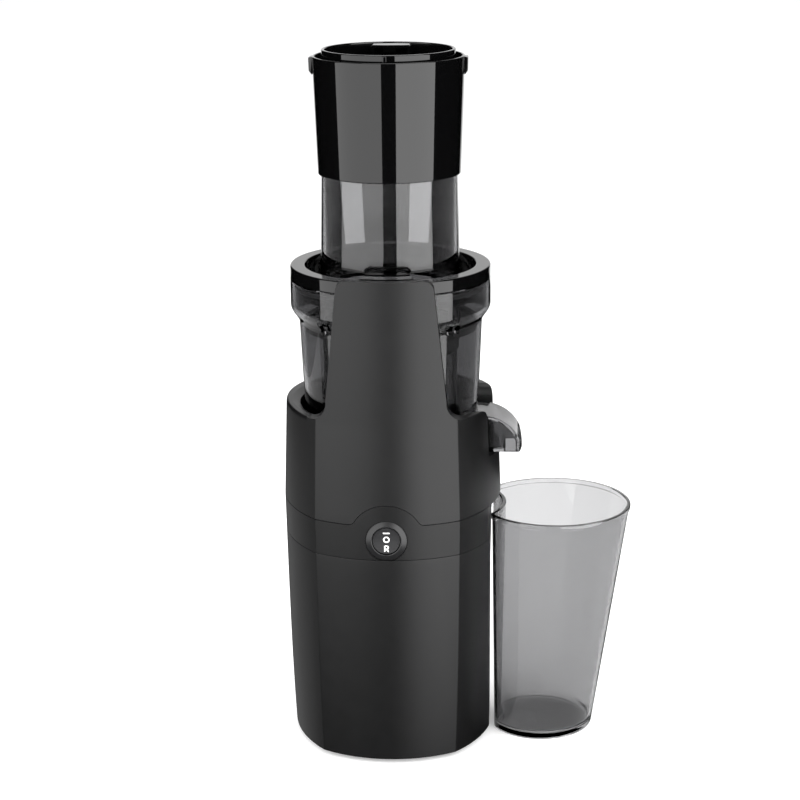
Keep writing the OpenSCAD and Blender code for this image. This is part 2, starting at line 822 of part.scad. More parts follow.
module gearbox_housing() {
    room_h = gearbox_h - gearbox_top_t;
    color([0.45, 0.46, 0.48])
        difference() {
            translate([0, 0, gearbox_z + eps]) linear_extrude(height = gearbox_h - eps) gearbox_plan(0);
            disc(bolt_ring_r - bolt_r - 2.5, gearbox_z - cut, room_h + cut);
            translate([0, axle_dist, 0]) disc(wheel_room_r, gearbox_z - cut, room_h + cut);
            disc(shaft_bearing_r + 0.02, gearbox_top_z - shaft_bearing_h, shaft_bearing_h + cut);
            disc(drive_shaft_r + 1.5, gearbox_z, gearbox_h + cut);
            translate([0, axle_dist, 0]) disc(axle_r + 0.02, gearbox_z, gearbox_h - 4);
            ring_of(4, bolt_ring_r) disc(screw_r + 0.2, gearbox_top_z - 6, 7);
            ring_of(4, bolt_ring_r) disc(head_r + 0.4, gearbox_z + 18, gearbox_h - 18 - 6);
            ring_of(4, bolt_ring_r) disc(bolt_r + 0.1, gearbox_z - cut, 12);
        }
}

module gearbox_screws() {
    seat_t = 6;
    length = 22;
    color([0.7, 0.7, 0.72])
        ring_of(4, bolt_ring_r)
            screw(screw_r, head_r, gearbox_top_z - seat_t - head_h - 0.1, length);
}

module motor_plate() {
    boss_drop = 6;
    color([0.62, 0.63, 0.65])
        difference() {
            union() {
                translate([0, 0, gearbox_z - plate_t]) linear_extrude(height = plate_t) gearbox_plan(0);
                disc(bearing_r + 3, gearbox_z - plate_t - boss_drop, boss_drop + 1);
                ring_of(4, bolt_ring_r)
                    disc(boss_r, stator_top_z + eps, winding_room);
            }
            disc(bearing_r + 0.02, gearbox_z - plate_t - boss_drop - cut, bearing_h + cut);
            disc(motor_shaft_r + 1, gearbox_z - plate_t - boss_drop, plate_t + boss_drop + cut);
            translate([0, axle_dist, 0]) disc(axle_r + 0.02, gearbox_z - 2.5, 5);
            ring_of(4, bolt_ring_r) disc(bolt_r + 0.1, gearbox_z - 30, 40);
        }
}

module motor_bracket() {
    spoke_w = 12;
    color([0.62, 0.63, 0.65])
        difference() {
            union() {
                disc(bearing_r + 3, bracket_z, bearing_h + 2);
                for (a = [45, 135])
                    rotate(a) translate([-bolt_ring_r, -spoke_w / 2, bracket_z])
                        cube([2 * bolt_ring_r, spoke_w, plate_t]);
                ring_of(4, bolt_ring_r) {
                    disc(spoke_w / 2 + 1, bracket_z, plate_t);
                    disc(boss_r, bracket_z, plate_t + winding_room - eps);
                }
            }
            disc(bearing_r + 0.02, bracket_z + 2, bearing_h + cut);
            disc(motor_shaft_r + 1, bracket_z - cut, 20);
            ring_of(4, bolt_ring_r) disc(bolt_r + 0.1, bracket_z - cut, 40);
        }
}

module motor_bolts() {
    length = gearbox_z + 10 - bracket_z + head_h;
    color([0.7, 0.7, 0.72])
        ring_of(4, bolt_ring_r) screw(bolt_r, head_r + 0.5, bracket_z - head_h - 0.1, length);
}

module stator_core() {
    slot_count = 12;
    bore_r = rotor_r + 0.6;
    color([0.42, 0.42, 0.44])
        difference() {
            disc(stator_r, stator_z, stator_h);
            disc(bore_r, stator_z - cut, stator_h + 2 * cut);
            ring_of(slot_count, rotor_r + 4.6, 0)
                disc(2.6, stator_z - cut, stator_h + 2 * cut);
            ring_of(4, bolt_ring_r) disc(bolt_r + 0.1, stator_z - cut, stator_h + 2 * cut);
        }
}

// Copper coils: end turns above and below the stack, joined through its slots
module stator_windings() {
    slot_count = 12;
    end_h = 8;
    color([0.72, 0.42, 0.22]) {
        for (z = [stator_z - end_h - 0.1, stator_top_z + 0.1])
            tube(rotor_r + 6.8, rotor_r + 2, z, end_h);
        ring_of(slot_count, rotor_r + 4.6, 0)
            disc(2.3, stator_z - 1, stator_h + 2);
    }
}

module bearing(r_out, r_in, z, h) {
    groove_r = (r_out + r_in) / 2;
    difference() {
        tube(r_out, r_in + run_gap, z, h);
        for (end = [z - cut, z + h - 0.6])
            tube(groove_r + 1, groove_r - 1, end, 0.6 + cut);
    }
}

module motor_bearings() {
    color([0.8, 0.8, 0.82]) {
        bearing(bearing_r, motor_shaft_r, gearbox_z - plate_t - 6, bearing_h);
        bearing(bearing_r, motor_shaft_r, bracket_z + 2, bearing_h);
    }
}

module shaft_bearings() {
    color([0.8, 0.8, 0.82]) {
        bearing(shaft_bearing_r, drive_shaft_r, gearbox_top_z - shaft_bearing_h, shaft_bearing_h);
        bearing(shaft_bearing_r, drive_shaft_r, deck_z - deck_t - 12, shaft_bearing_h);
    }
}

module rotor() {
    shaft_z = fan_z - 2;
    color([0.55, 0.55, 0.57]) {
        disc(motor_shaft_r, shaft_z, gearbox_z - shaft_z);
        disc(pinion_seat_r, gearbox_z - eps, pinion_z + pinion_h - gearbox_z);
        disc(rotor_r, stator_z, stator_h);
        for (z = [stator_z - 2, stator_top_z])
            disc(rotor_r - 2, z - eps, 2 + 2 * eps);
    }
}

module cooling_fan() {
    blades = 9;
    color([0.85, 0.85, 0.82])
        difference() {
            union() {
                disc(fan_r, fan_z, 1.6);
                disc(motor_shaft_r + 5, fan_z, fan_h);
                for (i = [0:blades - 1])
                    rotate(i * 360 / blades)
                        translate([motor_shaft_r + 3, -0.8, fan_z])
                            cube([fan_r - motor_shaft_r - 3.6, 1.6, fan_h]);
            }
            disc(motor_shaft_r + 0.02, fan_z - cut, fan_h + 2 * cut);
        }
}

function involute(a) = tan(a) * 180 / PI - a;

// One spur gear's outline; tip and root are in modules above and below the pitch circle
function gear_outline(teeth, m, tip, root) =
    let (
        pitch_r = teeth * m / 2,
        base_r = pitch_r * cos(pressure_angle),
        root_r = pitch_r - root * m,
        tip_r = pitch_r + tip * m,
        half = 90 / teeth - backlash / 4 / pitch_r * 180 / PI,
        radii = [root_r, max(base_r, root_r + 0.01), pitch_r, tip_r],
        spread = [for (r = radii)
            half + involute(pressure_angle) - involute(acos(min(1, base_r / max(r, base_r))))]
    )
    [for (i = [0:teeth - 1], side = [-1, 1], k = [0:3])
        let (j = side < 0 ? k : 3 - k, a = i * 360 / teeth + side * spread[j])
        radii[j] * [cos(a), sin(a)]];

module spur_gear(teeth, m, tip, z, h) {
    translate([0, 0, z]) linear_extrude(height = h) polygon(gear_outline(teeth, m, tip, 1.2));
}

module motor_pinion() {
    color([0.75, 0.65, 0.35])
        difference() {
            rotate(axle_angle) spur_gear(pinion_teeth, module_1, long_tip, pinion_z, pinion_h);
            disc(pinion_seat_r + 0.02, pinion_z - cut, pinion_h + 2 * cut);
        }
}

module compound_gear() {
    color([0.9, 0.9, 0.86])
        translate([0, axle_dist, 0])
            difference() {
                union() {
                    rotate(axle_angle + 180 + 180 / wheel_teeth)
                        spur_gear(wheel_teeth, module_1, short_tip, wheel_z, wheel_face);
                    rotate(axle_angle + 180)
                        spur_gear(second_pinion_teeth, module_2, long_tip, second_z - eps, second_h);
                }
                disc(axle_r + run_gap, wheel_z - cut, wheel_face + second_h + 2 * cut);
            }
}

module gear_axle() {
    color([0.8, 0.8, 0.82])
        translate([0, axle_dist, 0]) disc(axle_r, gearbox_z - 2.4, gearbox_h - 2);
}

module output_gear() {
    color([0.9, 0.9, 0.86])
        difference() {
            rotate(axle_angle + 180 / output_teeth)
                spur_gear(output_teeth, module_2, short_tip, output_z, output_h);
            disc(drive_shaft_r - 2 + 0.02, output_z - cut, output_h + 2 * cut);
        }
}

module drive_shaft() {
    color([0.78, 0.78, 0.8]) {
        disc(drive_shaft_r - 2, output_z - 0.4, output_h + 1);
        disc(drive_shaft_r, output_z + output_h + 0.1, deck_z + 2 - output_z - output_h);
        translate([0, 0, deck_z + 1]) cylinder(r = hex_r, h = hex_top_z - deck_z - 1, $fn = 6);
    }
}

module switch_body() {
    color([0.12, 0.12, 0.13])
        translate([0, switch_front_y + bezel_t, switch_z]) rotate([-90, 0, 0])
            difference() {
                cylinder(r = switch_body_r, h = switch_len);
                translate([0, 0, -cut]) cylinder(r = rocker_bore_r, h = 9 + cut);
            }
}

// Its cone rises from the outer edge to a crest round the rocker
module switch_bezel() {
    back = bezel_edge + bezel_rim_t;
    color([0.03, 0.03, 0.03])
        translate([0, switch_front_y, switch_z]) rotate([-90, 0, 0])
            rotate_extrude() polygon([
                [rocker_bore_r, bezel_t - eps],
                [rocker_bore_r, 0.3 - bezel_rise],
                [bezel_crest_r, -bezel_rise],
                [bezel_r, bezel_edge],
                [bezel_r, back],
                [switch_body_r, back],
                [switch_body_r, bezel_t - eps]
            ]);
}

module rocker() {
    saddle_r = 30;
    depth = 4.6;
    color([0.10, 0.10, 0.11])
        difference() {
            translate([0, pivot_y, switch_z]) rotate([-90, 0, 0])
                rotate_extrude()
                    intersection() {
                        circle(r = rocker_ball_r);
                        translate([0, -pivot_drop - 0.4]) square([20, pivot_drop + depth]);
                    }
            translate([-20, pivot_y - pivot_drop - saddle_r + 0.5, switch_z]) rotate([0, 90, 0])
                cylinder(r = saddle_r, h = 40);
        }
}

module control_board() {
    board_w = 46;
    board_gap = 5.5;
    board_y = half_d * foot_share_y - wall - board_gap;
    color([0.16, 0.38, 0.22]) {
        translate([-board_w / 2, -board_y, foot_gap + 24]) cube([board_w, 1.6, 62]);
        translate([-16, -board_y + 1.5, foot_gap + 34]) cube([14, 7, 16]);
        translate([4, -board_y + 1.5, foot_gap + 30]) cube([16, 5, 12]);
        translate([-18, -board_y - 3.4, foot_gap + 40]) cube([8, 3.5, 6]);
        translate([10, -board_y - 3.4, foot_gap + 62]) cube([8, 3.5, 6]);
    }
}

// Side profile of a hooded outlet: a level floor and a roof that rounds down to the tip
function hood(reach, round, inset) =
    [for (a = [90:-9:0]) [
        reach - round + (round - inset) * cos(a),
        outlet_floor_z + (spout_h - inset) * sin(a)
    ]];

function outlet_shape(reach, round, inset) =
    let (root = bowl_floor_r - 20)
    concat([[root, outlet_floor_z], [root, outlet_floor_z + spout_h - inset]], hood(reach, round, inset));

// Its tip is bowed in plan, round the bowl's axis
module outlet_solid(width, reach, round) {
    intersection() {
        rotate([90, 0, 0]) translate([0, 0, -width / 2])
            linear_extrude(height = width) polygon(outlet_shape(reach, round, 0));
        disc(reach, 0, rim_z + 40);
    }
}

// The passage inside an outlet, with its mouth open downwards near the tip
module outlet_passage(width, reach, round, mouth) {
    inner = width - 2 * spout_wall;
    intersection() {
        rotate([90, 0, 0]) translate([0, 0, -inner / 2])
            linear_extrude(height = inner)
                intersection() {
                    polygon(outlet_shape(reach, round, spout_wall));
                    union() {
                        translate([0, outlet_in_z]) square([200, 200]);
                        translate([reach - spout_wall - mouth, outlet_floor_z - cut]) square([mouth, 20]);
                    }
                }
        tube(reach - spout_wall, bowl_floor_r - 1, 0, rim_z + 40);
    }
}

function bowl_wall_profile() = [
    [bowl_floor_r - 4.9, bowl_z],
    [bowl_floor_r - 3.4, bowl_z],
    [bowl_floor_r - 1.2, bowl_z + 0.8],
    [bowl_floor_r - 0.2, bowl_z + 3.2],
    [bowl_neck_r, shoulder_z],
    [bowl_neck_r + 0.9, shoulder_z + 2],
    [bowl_rim_r - 0.9, band_in_z - 2],
    [bowl_rim_r, band_in_z + 0.6],
    [bowl_rim_r, bowl_top_z],
    [bowl_in_top_r, bowl_top_z],
    [bowl_in_top_r, band_in_z + 1.2],
    [bowl_in_top_r - 0.8, band_in_z - 1],
    [bowl_in_neck_r + 0.6, shoulder_z + 3],
    [bowl_in_neck_r, shoulder_z],
    [bowl_floor_r - bowl_wall, bowl_inside_z + 2],
    [bowl_floor_r - bowl_wall - 1.5, bowl_inside_z],
    [hub_r + hub_wall, bowl_inside_z],
    [hub_r + hub_wall, hub_top_z],
    [hub_r, hub_top_z],
    [hub_r, bowl_floor_z],
    [bowl_floor_r - 4.9, bowl_floor_z]
];

module juice_bowl() {
    port_w = 24;
    color([0.25, 0.25, 0.26, 0.5])
        difference() {
            union() {
                rotate_extrude() polygon(bowl_wall_profile());
                difference() {
                    union() {
                        translate([0, spout_shift, 0]) outlet_solid(spout_w, spout_reach, spout_round);
                        rotate(90) outlet_solid(pulp_w, pulp_reach, pulp_round);
                    }
                    disc(bowl_floor_r - bowl_wall, 0, rim_z);
                }
                difference() {
                    translate([-pulp_w / 2, rib_r + rib_t + 0.3, bowl_inside_z - eps])
                        cube([pulp_w, bowl_floor_r - bowl_wall - rib_r - rib_t + 0.5,
                            outlet_in_z + pulp_port_h + spout_wall - bowl_inside_z]);
                    disc(rib_r + rib_t + 0.3, 0, rim_z);
                }
            }
            translate([0, spout_shift, 0])
                outlet_passage(spout_w, spout_reach, spout_round, spout_mouth_w);
            translate([bowl_floor_r - 8, spout_shift - port_w / 2, outlet_in_z])
                cube([12, port_w, 9]);
            rotate(90) outlet_passage(pulp_w, pulp_reach, pulp_round, pulp_mouth_w);
            translate([-pulp_w / 2 + spout_wall, rib_r - 2, outlet_in_z])
                cube([pulp_w - 2 * spout_wall, bowl_floor_r - rib_r + 4, pulp_port_h]);
        }
}

module bowl_seal() {
    lip = 0.3;
    color([0.75, 0.75, 0.75])
        difference() {
            tube(hub_r - 0.05, spigot_r + lip, bowl_floor_z + 1, hub_h);
            for (z = [bowl_floor_z + 3:3:bowl_floor_z + 9])
                tube(hub_r - 0.7, spigot_r, z, 1.4);
        }
}

// Silicone pressure flap in the pulp outlet
module pulp_valve() {
    inner = pulp_w - 2 * spout_wall - 0.4;
    color([0.75, 0.75, 0.75])
        translate([-inner / 2, bowl_floor_r + 4, outlet_in_z + 0.1])
            difference() {
                cube([inner, 6, pulp_port_h]);
                translate([3, -cut, 3]) cube([inner - 6, 6 + 2 * cut, pulp_port_h - 6]);
            }
}

module strainer_frame() {
    flange_t = 2.4;
    flange_r = bowl_in_neck_r - 0.5;
    port_w = pulp_w - 2 * spout_wall;
    color([0.16, 0.16, 0.17])
        difference() {
            union() {
                tube(rib_r + rib_t, hub_r + hub_wall + 0.4, strainer_z, strainer_floor_t);
                tube(rib_r + rib_t, rib_r, strainer_z, strainer_floor_t + 4);
                tube(rib_r + rib_t, rib_r, strainer_flange_z - 16, 17);
                tube(flange_r - 1.4, strainer_r, strainer_flange_z - flange_t, flange_t);
                tube(flange_r, flange_r - 3.4, strainer_flange_z - flange_t, flange_t + 3);
                ring_of(rib_count, 0, 15)
                    translate([rib_r, -1.1, strainer_z + 1]) cube([rib_t, 2.2, strainer_h - 3]);
            }
            translate([-port_w / 2, 20, outlet_in_z]) cube([port_w, 40, pulp_port_h]);
        }
}

module strainer_mesh() {
    port_w = pulp_w - 2 * spout_wall;
    z = strainer_z + strainer_floor_t + 0.1;
    color([0.6, 0.6, 0.62])
        difference() {
            tube(mesh_r, strainer_r, z, strainer_flange_z - 2.4 - 0.1 - z);
            translate([-port_w / 2, 20, outlet_in_z]) cube([port_w, 40, pulp_port_h]);
        }
}

module auger_flight() {
    turns = flight_turns * 360;
    slices = 40;
    height = auger_h - 1;
    translate([0, 0, auger_z + 0.5])
        linear_extrude(height = height, twist = -turns, slices = slices, segments = 12, $fn = 12)
            polygon([
                [10, -flight_t],
                [auger_r - 1, -flight_t / 2],
                [auger_r - 0.1, -flight_t / 3],
                [auger_r - 0.1, flight_t / 3],
                [auger_r - 1, flight_t / 2],
                [10, flight_t]
            ]);
}

module auger() {
    cap_h = 20;
    color([0.13, 0.13, 0.14])
        difference() {
            union() {
                rotate_extrude() polygon([
                    [0, spigot_z],
                    [spigot_r, spigot_z],
                    [spigot_r, hub_top_z + 0.6],
                    [hub_r + hub_wall + 0.8, hub_top_z + 0.6],
                    [hub_r + hub_wall + 0.8, auger_z],
                    [auger_root_r, auger_z],
                    [auger_root_r, auger_z + 5],
                    [auger_top_r, auger_z + auger_h],
                    [auger_top_r - 1, auger_z + auger_h + cap_h * 0.5],
                    [auger_top_r * 0.6, auger_z + auger_h + cap_h * 0.85],
                    [auger_top_r * 0.3, auger_z + auger_h + cap_h],
                    [0, auger_z + auger_h + cap_h]
                ]);
                difference() {
                    for (a = [0, 180]) rotate(a) auger_flight();
                    disc(auger_root_r - 2, auger_z - cut, 6);
                    disc(auger_top_r - 5, auger_z, auger_h + cut);
                }
            }
            translate([0, 0, spigot_z - cut])
                cylinder(r = hex_socket_r, h = hex_top_z + 1 - spigot_z + cut, $fn = 6);
        }
}

module lid_profile() {
    polygon([
        [bowl_rim_r - 2.2, lid_low_z],
        [bowl_rim_r, lid_low_z],
        [bowl_rim_r, lid_top_z - 1.2],
        [bowl_rim_r - 0.4, lid_top_z - 0.4],
        [bowl_rim_r - 1.2, lid_top_z],
        [lid_in_r + 0.8, lid_top_z],
        [lid_in_r, lid_top_z - 0.8],
        [lid_in_r, lid_floor_z],
        [chute_bore_r + 0.4, lid_floor_z],
        [chute_bore_r + 0.4, lid_floor_z - lid_wall],
        [skirt_r - lid_wall, lid_floor_z - lid_wall],
        [skirt_r - lid_wall, lid_floor_z - lid_wall - 1],
        [skirt_r, lid_floor_z - lid_wall - 1],
        [skirt_r, lid_low_z],
        [skirt_r, lid_top_z - lid_wall],
        [bowl_rim_r - 2.2, lid_top_z - lid_wall]
    ]);
}

// The key block's outline seen from the front, narrower at the top
module key_shape() {
    polygon([
        [-key_w / 2, lid_floor_z - eps],
        [key_w / 2, lid_floor_z - eps],
        [key_w / 2 - 4.5, lid_top_z + 0.8],
        [-key_w / 2 + 4.5, lid_top_z + 0.8]
    ]);
}

module lid_ring() {
    color([0.03, 0.03, 0.03])
        difference() {
            union() {
                difference() {
                    rotate_extrude() lid_profile();
                    tube(bowl_in_top_r - 3.4, lid_in_r + lid_wall, lid_floor_z, lid_edge_h - 1.2);
                }
                intersection() {
                    tube(lid_in_r + 0.5, key_in_r, lid_floor_z - 1, moat_h + 3);
                    front_prism() key_shape();
                }
            }
            translate([0, -key_mid_r, lid_floor_z - lid_wall - cut])
                cylinder(r = magnet_r + 0.05, h = magnet_h + lid_wall + cut);
            tube(skirt_r + cut, skirt_r - 1, gasket_z, gasket_h);
        }
}

module lid_magnet() {
    color([0.6, 0.6, 0.62])
        translate([0, -key_mid_r, lid_floor_z - lid_wall + 0.2])
            cylinder(r = magnet_r, h = magnet_h + lid_wall - 0.4);
}

module lid_gasket() {
    color([0.5, 0.5, 0.5])
        rotate_extrude() polygon([
            [skirt_r - 0.8, gasket_z + 0.2],
            [skirt_r + 0.1, gasket_z + 0.2],
            [skirt_r + 0.3, gasket_z + gasket_h / 2],
            [skirt_r + 0.1, gasket_z + gasket_h - 0.2],
            [skirt_r - 0.8, gasket_z + gasket_h - 0.2]
        ]);
}

module feed_tube() {
    bead_h = 4;
    color([0.25, 0.25, 0.26, 0.5])
        rotate_extrude() polygon([
            [chute_bore_r, chute_z],
            [chute_foot_r + 1.6, chute_z],
            [chute_foot_r + 1.6, chute_z + 2.4],
            [chute_foot_r + 0.5, chute_z + 5],
            [chute_foot_r, chute_z + 11],
            [chute_r, collar_z - 3],
            [chute_r - 0.2, chute_top_z - bead_h],
            [chute_bore_r + 3.3, chute_top_z - bead_h],
            [chute_bore_r + 3.3, chute_top_z],
            [chute_bore_r, chute_top_z]
        ]);
}

module feed_collar() {
    ledge_z = chute_top_z - 4 - fit_gap;
    ledge_h = 4;
    lip_r = chute_r + 0.2;
    in_top_r = collar_top_r - collar_wall;
    slope = (collar_top_r - collar_low_r) / collar_h;
    tab_w = 10;
    color([0.02, 0.02, 0.02]) {
        rotate_extrude() polygon([
            [lip_r, collar_z],
            [collar_low_r - 0.4, collar_z],
            [collar_low_r, collar_z + 0.6],
            [collar_top_r, collar_top_z - 0.8],
            [collar_top_r - 0.5, collar_top_z],
            [in_top_r + 0.2, collar_top_z],
            [in_top_r, collar_top_z - 0.6],
            [in_top_r - slope * collar_rise, ledge_z],
            [lip_r, ledge_z],
            [lip_r, ledge_z - ledge_h],
            [in_top_r - slope * (collar_rise + 8), ledge_z - ledge_h - 1],
            [collar_low_r - collar_wall + 0.3, collar_z + 6],
            [lip_r, collar_z + 4]
        ]);
        for (side = [0, 180])
            rotate(side)
                rotate([90, 0, 0]) translate([0, 0, -tab_w / 2])
                    linear_extrude(height = tab_w)
                        polygon([
                            [collar_top_r - 1, collar_top_z - 0.4],
                            [collar_top_r + 2, collar_top_z - 0.9],
                            [collar_top_r + 1.8, collar_top_z - 9],
                            [collar_top_r - 0.2, collar_top_z - 11.5]
                        ]);
    }
}

module pusher() {
    body_r = chute_bore_r - pusher_gap;
    in_r = body_r - pusher_wall;
    floor_z = pusher_seat_z - pusher_depth;
    flange_r = chute_bore_r + 3;
    ring_in_r = pusher_ring_r - pusher_wall;
    bar_low_z = pusher_seat_z + pusher_flange_t - 2;
    color([0.03, 0.03, 0.03]) {
        rotate_extrude() polygon([
            [0, floor_z],
            [body_r - 1.5, floor_z],
            [body_r, floor_z + 1.5],
            [body_r, pusher_seat_z],
            [flange_r, pusher_seat_z],
            [flange_r, pusher_seat_z + pusher_flange_t],
            [pusher_ring_r, pusher_seat_z + pusher_flange_t],
            [pusher_ring_r, pusher_top_z - 0.8],
            [pusher_ring_r - 0.8, pusher_top_z],
            [ring_in_r + 0.2, pusher_top_z],
            [ring_in_r, pusher_top_z - 0.3],
            [in_r, pusher_seat_z],
            [in_r, floor_z + pusher_wall],
            [0, floor_z + pusher_wall]
        ]);
        intersection() {
            disc(pusher_ring_r - 1, 0, pusher_top_z + 10);
            translate([0, handle_y + chute_bore_r, 0])
                disc(chute_bore_r, 0, pusher_top_z + 10);
            union() {
                for (side = [-1, 1])
                    translate([side * (handle_w / 2 - pusher_wall / 2) - pusher_wall / 2, -60, bar_low_z])
                        cube([pusher_wall, 120, pusher_top_z - bar_low_z - 0.6]);
                translate([-handle_w / 2, -60, pusher_top_z - 0.6 - pusher_wall])
                    cube([handle_w, 120, pusher_wall]);
            }
        }
        translate([-1.2, -pusher_ring_r - 1.4, pusher_seat_z + pusher_flange_t - eps])
            cube([2.4, 2.4, pusher_rise - 0.6]);
    }
}

// Plan of the cup at one height: a round side, and a hollow side between two rounded edges
function cup_plan(r, x, inset) =
    let (
        big_c = [x, cup_y],
        big_r = r - inset,
        hollow_c = [cup_hollow_x - cup_hollow_r, cup_y],
        hollow_r = cup_hollow_r + inset,
        small_r = max(cup_corner_r - inset, 1),
        c = meet(big_c, big_r - small_r, hollow_c, hollow_r + small_r, -1),
        a1 = angle_of(c - big_c),
        a2 = angle_of(hollow_c - c),
        a3 = angle_of(c - hollow_c),
        upper = concat(
            arc(big_c, big_r, 0, a1, cup_steps / 2),
            without_ends(arc(c, small_r, a1, a2 < a1 ? a2 + 360 : a2, cup_small_steps)),
            arc(hollow_c, hollow_r, a3, 0, cup_small_steps)
        )
    )
    concat(upper, [for (i = [len(upper) - 2:-1:1]) [upper[i].x, 2 * cup_y - upper[i].y]]);

function cup_ring(z, inset) =
    let (t = z / cup_h)
    [for (p = cup_plan(
        cup_base_r + (cup_mouth_r - cup_base_r) * t,
        cup_base_x + (cup_mouth_x - cup_base_x) * t,
        inset)) [p.x, p.y, z]];

module juice_cup() {
    bead_z = cup_h - cup_bead_h;
    color([0.6, 0.6, 0.6, 0.4])
        difference() {
            loft([
                cup_ring(0, 1),
                cup_ring(0.8, 0.2),
                cup_ring(2, 0),
                cup_ring(bead_z - 0.8, 0),
                cup_ring(bead_z, -cup_bead_out * 0.6),
                cup_ring(cup_h - 0.6, -cup_bead_out * 0.6),
                cup_ring(cup_h, 0)
            ]);
            loft([
                cup_ring(cup_floor_t, cup_wall + 1.4),
                cup_ring(cup_floor_t + 1.5, cup_wall),
                cup_ring(cup_h + cut, cup_wall)
            ]);
        }
}

lower_casing();
control_band();
upper_casing();
tongue_cover();
base_plate();
foot_ring();
base_screws();
cable_gland();
bowl_deck();
deck_screws();
shaft_seal();
gearbox_housing();
gearbox_screws();
motor_plate();
motor_bracket();
motor_bolts();
stator_core();
stator_windings();
motor_bearings();
shaft_bearings();
rotor();
cooling_fan();
motor_pinion();
compound_gear();
gear_axle();
output_gear();
drive_shaft();
switch_body();
switch_bezel();
rocker();
control_board();
reed_sensor();
juice_bowl();
bowl_seal();
pulp_valve();
strainer_frame();
strainer_mesh();
auger();
lid_ring();
lid_gasket();
lid_magnet();
feed_tube();
feed_collar();
pusher();
juice_cup();
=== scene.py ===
from math import atan2, cos, hypot, pi, radians, sin, sqrt

import bmesh
import bpy
from mathutils import Matrix, Vector


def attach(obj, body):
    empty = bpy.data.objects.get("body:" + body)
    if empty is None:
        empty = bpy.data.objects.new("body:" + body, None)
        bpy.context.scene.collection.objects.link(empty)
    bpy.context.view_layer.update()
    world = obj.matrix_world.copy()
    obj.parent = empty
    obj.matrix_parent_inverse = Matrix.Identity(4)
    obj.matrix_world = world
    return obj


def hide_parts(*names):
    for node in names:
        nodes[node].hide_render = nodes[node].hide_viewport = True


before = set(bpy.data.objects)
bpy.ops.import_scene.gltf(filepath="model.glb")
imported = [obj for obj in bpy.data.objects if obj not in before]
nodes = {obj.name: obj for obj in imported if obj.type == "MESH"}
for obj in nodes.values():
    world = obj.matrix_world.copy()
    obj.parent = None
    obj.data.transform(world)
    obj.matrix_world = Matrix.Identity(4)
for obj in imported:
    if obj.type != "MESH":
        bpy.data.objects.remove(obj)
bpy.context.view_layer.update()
scene = bpy.context.scene
MM = 0.001

# Studio: a long lens 1.2 m in front and slightly to the right, looking 16 degrees down. Two tall
# softboxes make the streaks in the glossy plastics, with a glow behind, a low fill on the left and
# a top light. The white table and the room stay out of the reflections, as in a tented cabinet.
CAMERA_TURN = radians(3.2)
CAMERA_PITCH = radians(15.949)
CAMERA_ROLL = radians(-0.475)
CAMERA_REACH = 1.220
CAMERA_SIDE = 0.00525
CAMERA_HEIGHT = 0.568
CAMERA_LENS, CAMERA_SENSOR = 90.54, 36.0
camera_data = bpy.data.cameras.new("camera")
camera_data.sensor_width = CAMERA_SENSOR
camera_data.lens = CAMERA_LENS
camera_data.clip_start, camera_data.clip_end = 0.05, 60.0
camera = bpy.data.objects.new("camera", camera_data)
camera.location = (
    CAMERA_SIDE * cos(CAMERA_TURN) + CAMERA_REACH * sin(CAMERA_TURN),
    CAMERA_SIDE * sin(CAMERA_TURN) - CAMERA_REACH * cos(CAMERA_TURN),
    CAMERA_HEIGHT,
)
camera.rotation_mode = "QUATERNION"
camera.rotation_quaternion = (
    Matrix.Rotation(CAMERA_TURN, 3, "Z")
    @ Matrix.Rotation(pi / 2 - CAMERA_PITCH, 3, "X")
    @ Matrix.Rotation(CAMERA_ROLL, 3, "Z")
).to_quaternion()
scene.collection.objects.link(camera)
scene.camera = camera

world = bpy.data.worlds.new("white_room")
world.use_nodes = True
world.node_tree.nodes["Background"].inputs["Color"].default_value = (1.0, 1.0, 1.0, 1)
world.node_tree.nodes["Background"].inputs["Strength"].default_value = 1.0
world.cycles_visibility.glossy = False
scene.world = world
scene.view_settings.view_transform = "Standard"
scene.cycles.use_denoising = True


def softbox(name, turn, reach, width, low, high, radiance, diffuse=True, glossy=True):
    """A tall light panel that faces the press axis; turn is measured from the front, to the right."""
    data = bpy.data.lights.new(name, "AREA")
    data.shape = "RECTANGLE"
    data.size, data.size_y = width, high - low
    data.energy = radiance * pi * width * (high - low)
    light = bpy.data.objects.new(name, data)
    light.location = (reach * sin(turn), -reach * cos(turn), (low + high) / 2)
    light.rotation_mode = "QUATERNION"
    light.rotation_quaternion = Vector((-sin(turn), cos(turn), 0)).to_track_quat("-Z", "Y")
    light.visible_camera = False
    light.visible_diffuse, light.visible_glossy = diffuse, glossy
    scene.collection.objects.link(light)
    return light


softbox("softbox_left", CAMERA_TURN - radians(48.5), 1.02, 1.56, -0.20, 1.5, 2.5)
softbox("softbox_right", CAMERA_TURN + radians(42.0), 1.05, 1.28, -0.42, 1.5, 3.8)
softbox("backdrop_glow", radians(180), 1.3, 1.1, 0.0, 1.5, 1.0, diffuse=False)
softbox("fill_left", CAMERA_TURN - radians(130.0), 1.2, 1.3, -0.8, -0.12, 0.5, diffuse=False)
top_data = bpy.data.lights.new("top_light", "AREA")
top_data.shape = "DISK"
top_data.size = 0.9
top_data.energy = 6.0
top_light = bpy.data.objects.new("top_light", top_data)
top_light.location = (0.1, 0.25, 1.5)
top_light.visible_camera = False
scene.collection.objects.link(top_light)


TABLE_R = 9.0


def flat_disc(name, radius, steps=96):
    corners = [
        (radius * cos(2 * pi * i / steps), radius * sin(2 * pi * i / steps), 0.0) for i in range(steps)
    ]
    mesh = bpy.data.meshes.new(name)
    mesh.from_pydata(corners, [], [tuple(range(steps))])
    piece = bpy.data.objects.new(name, mesh)
    scene.collection.objects.link(piece)
    return piece


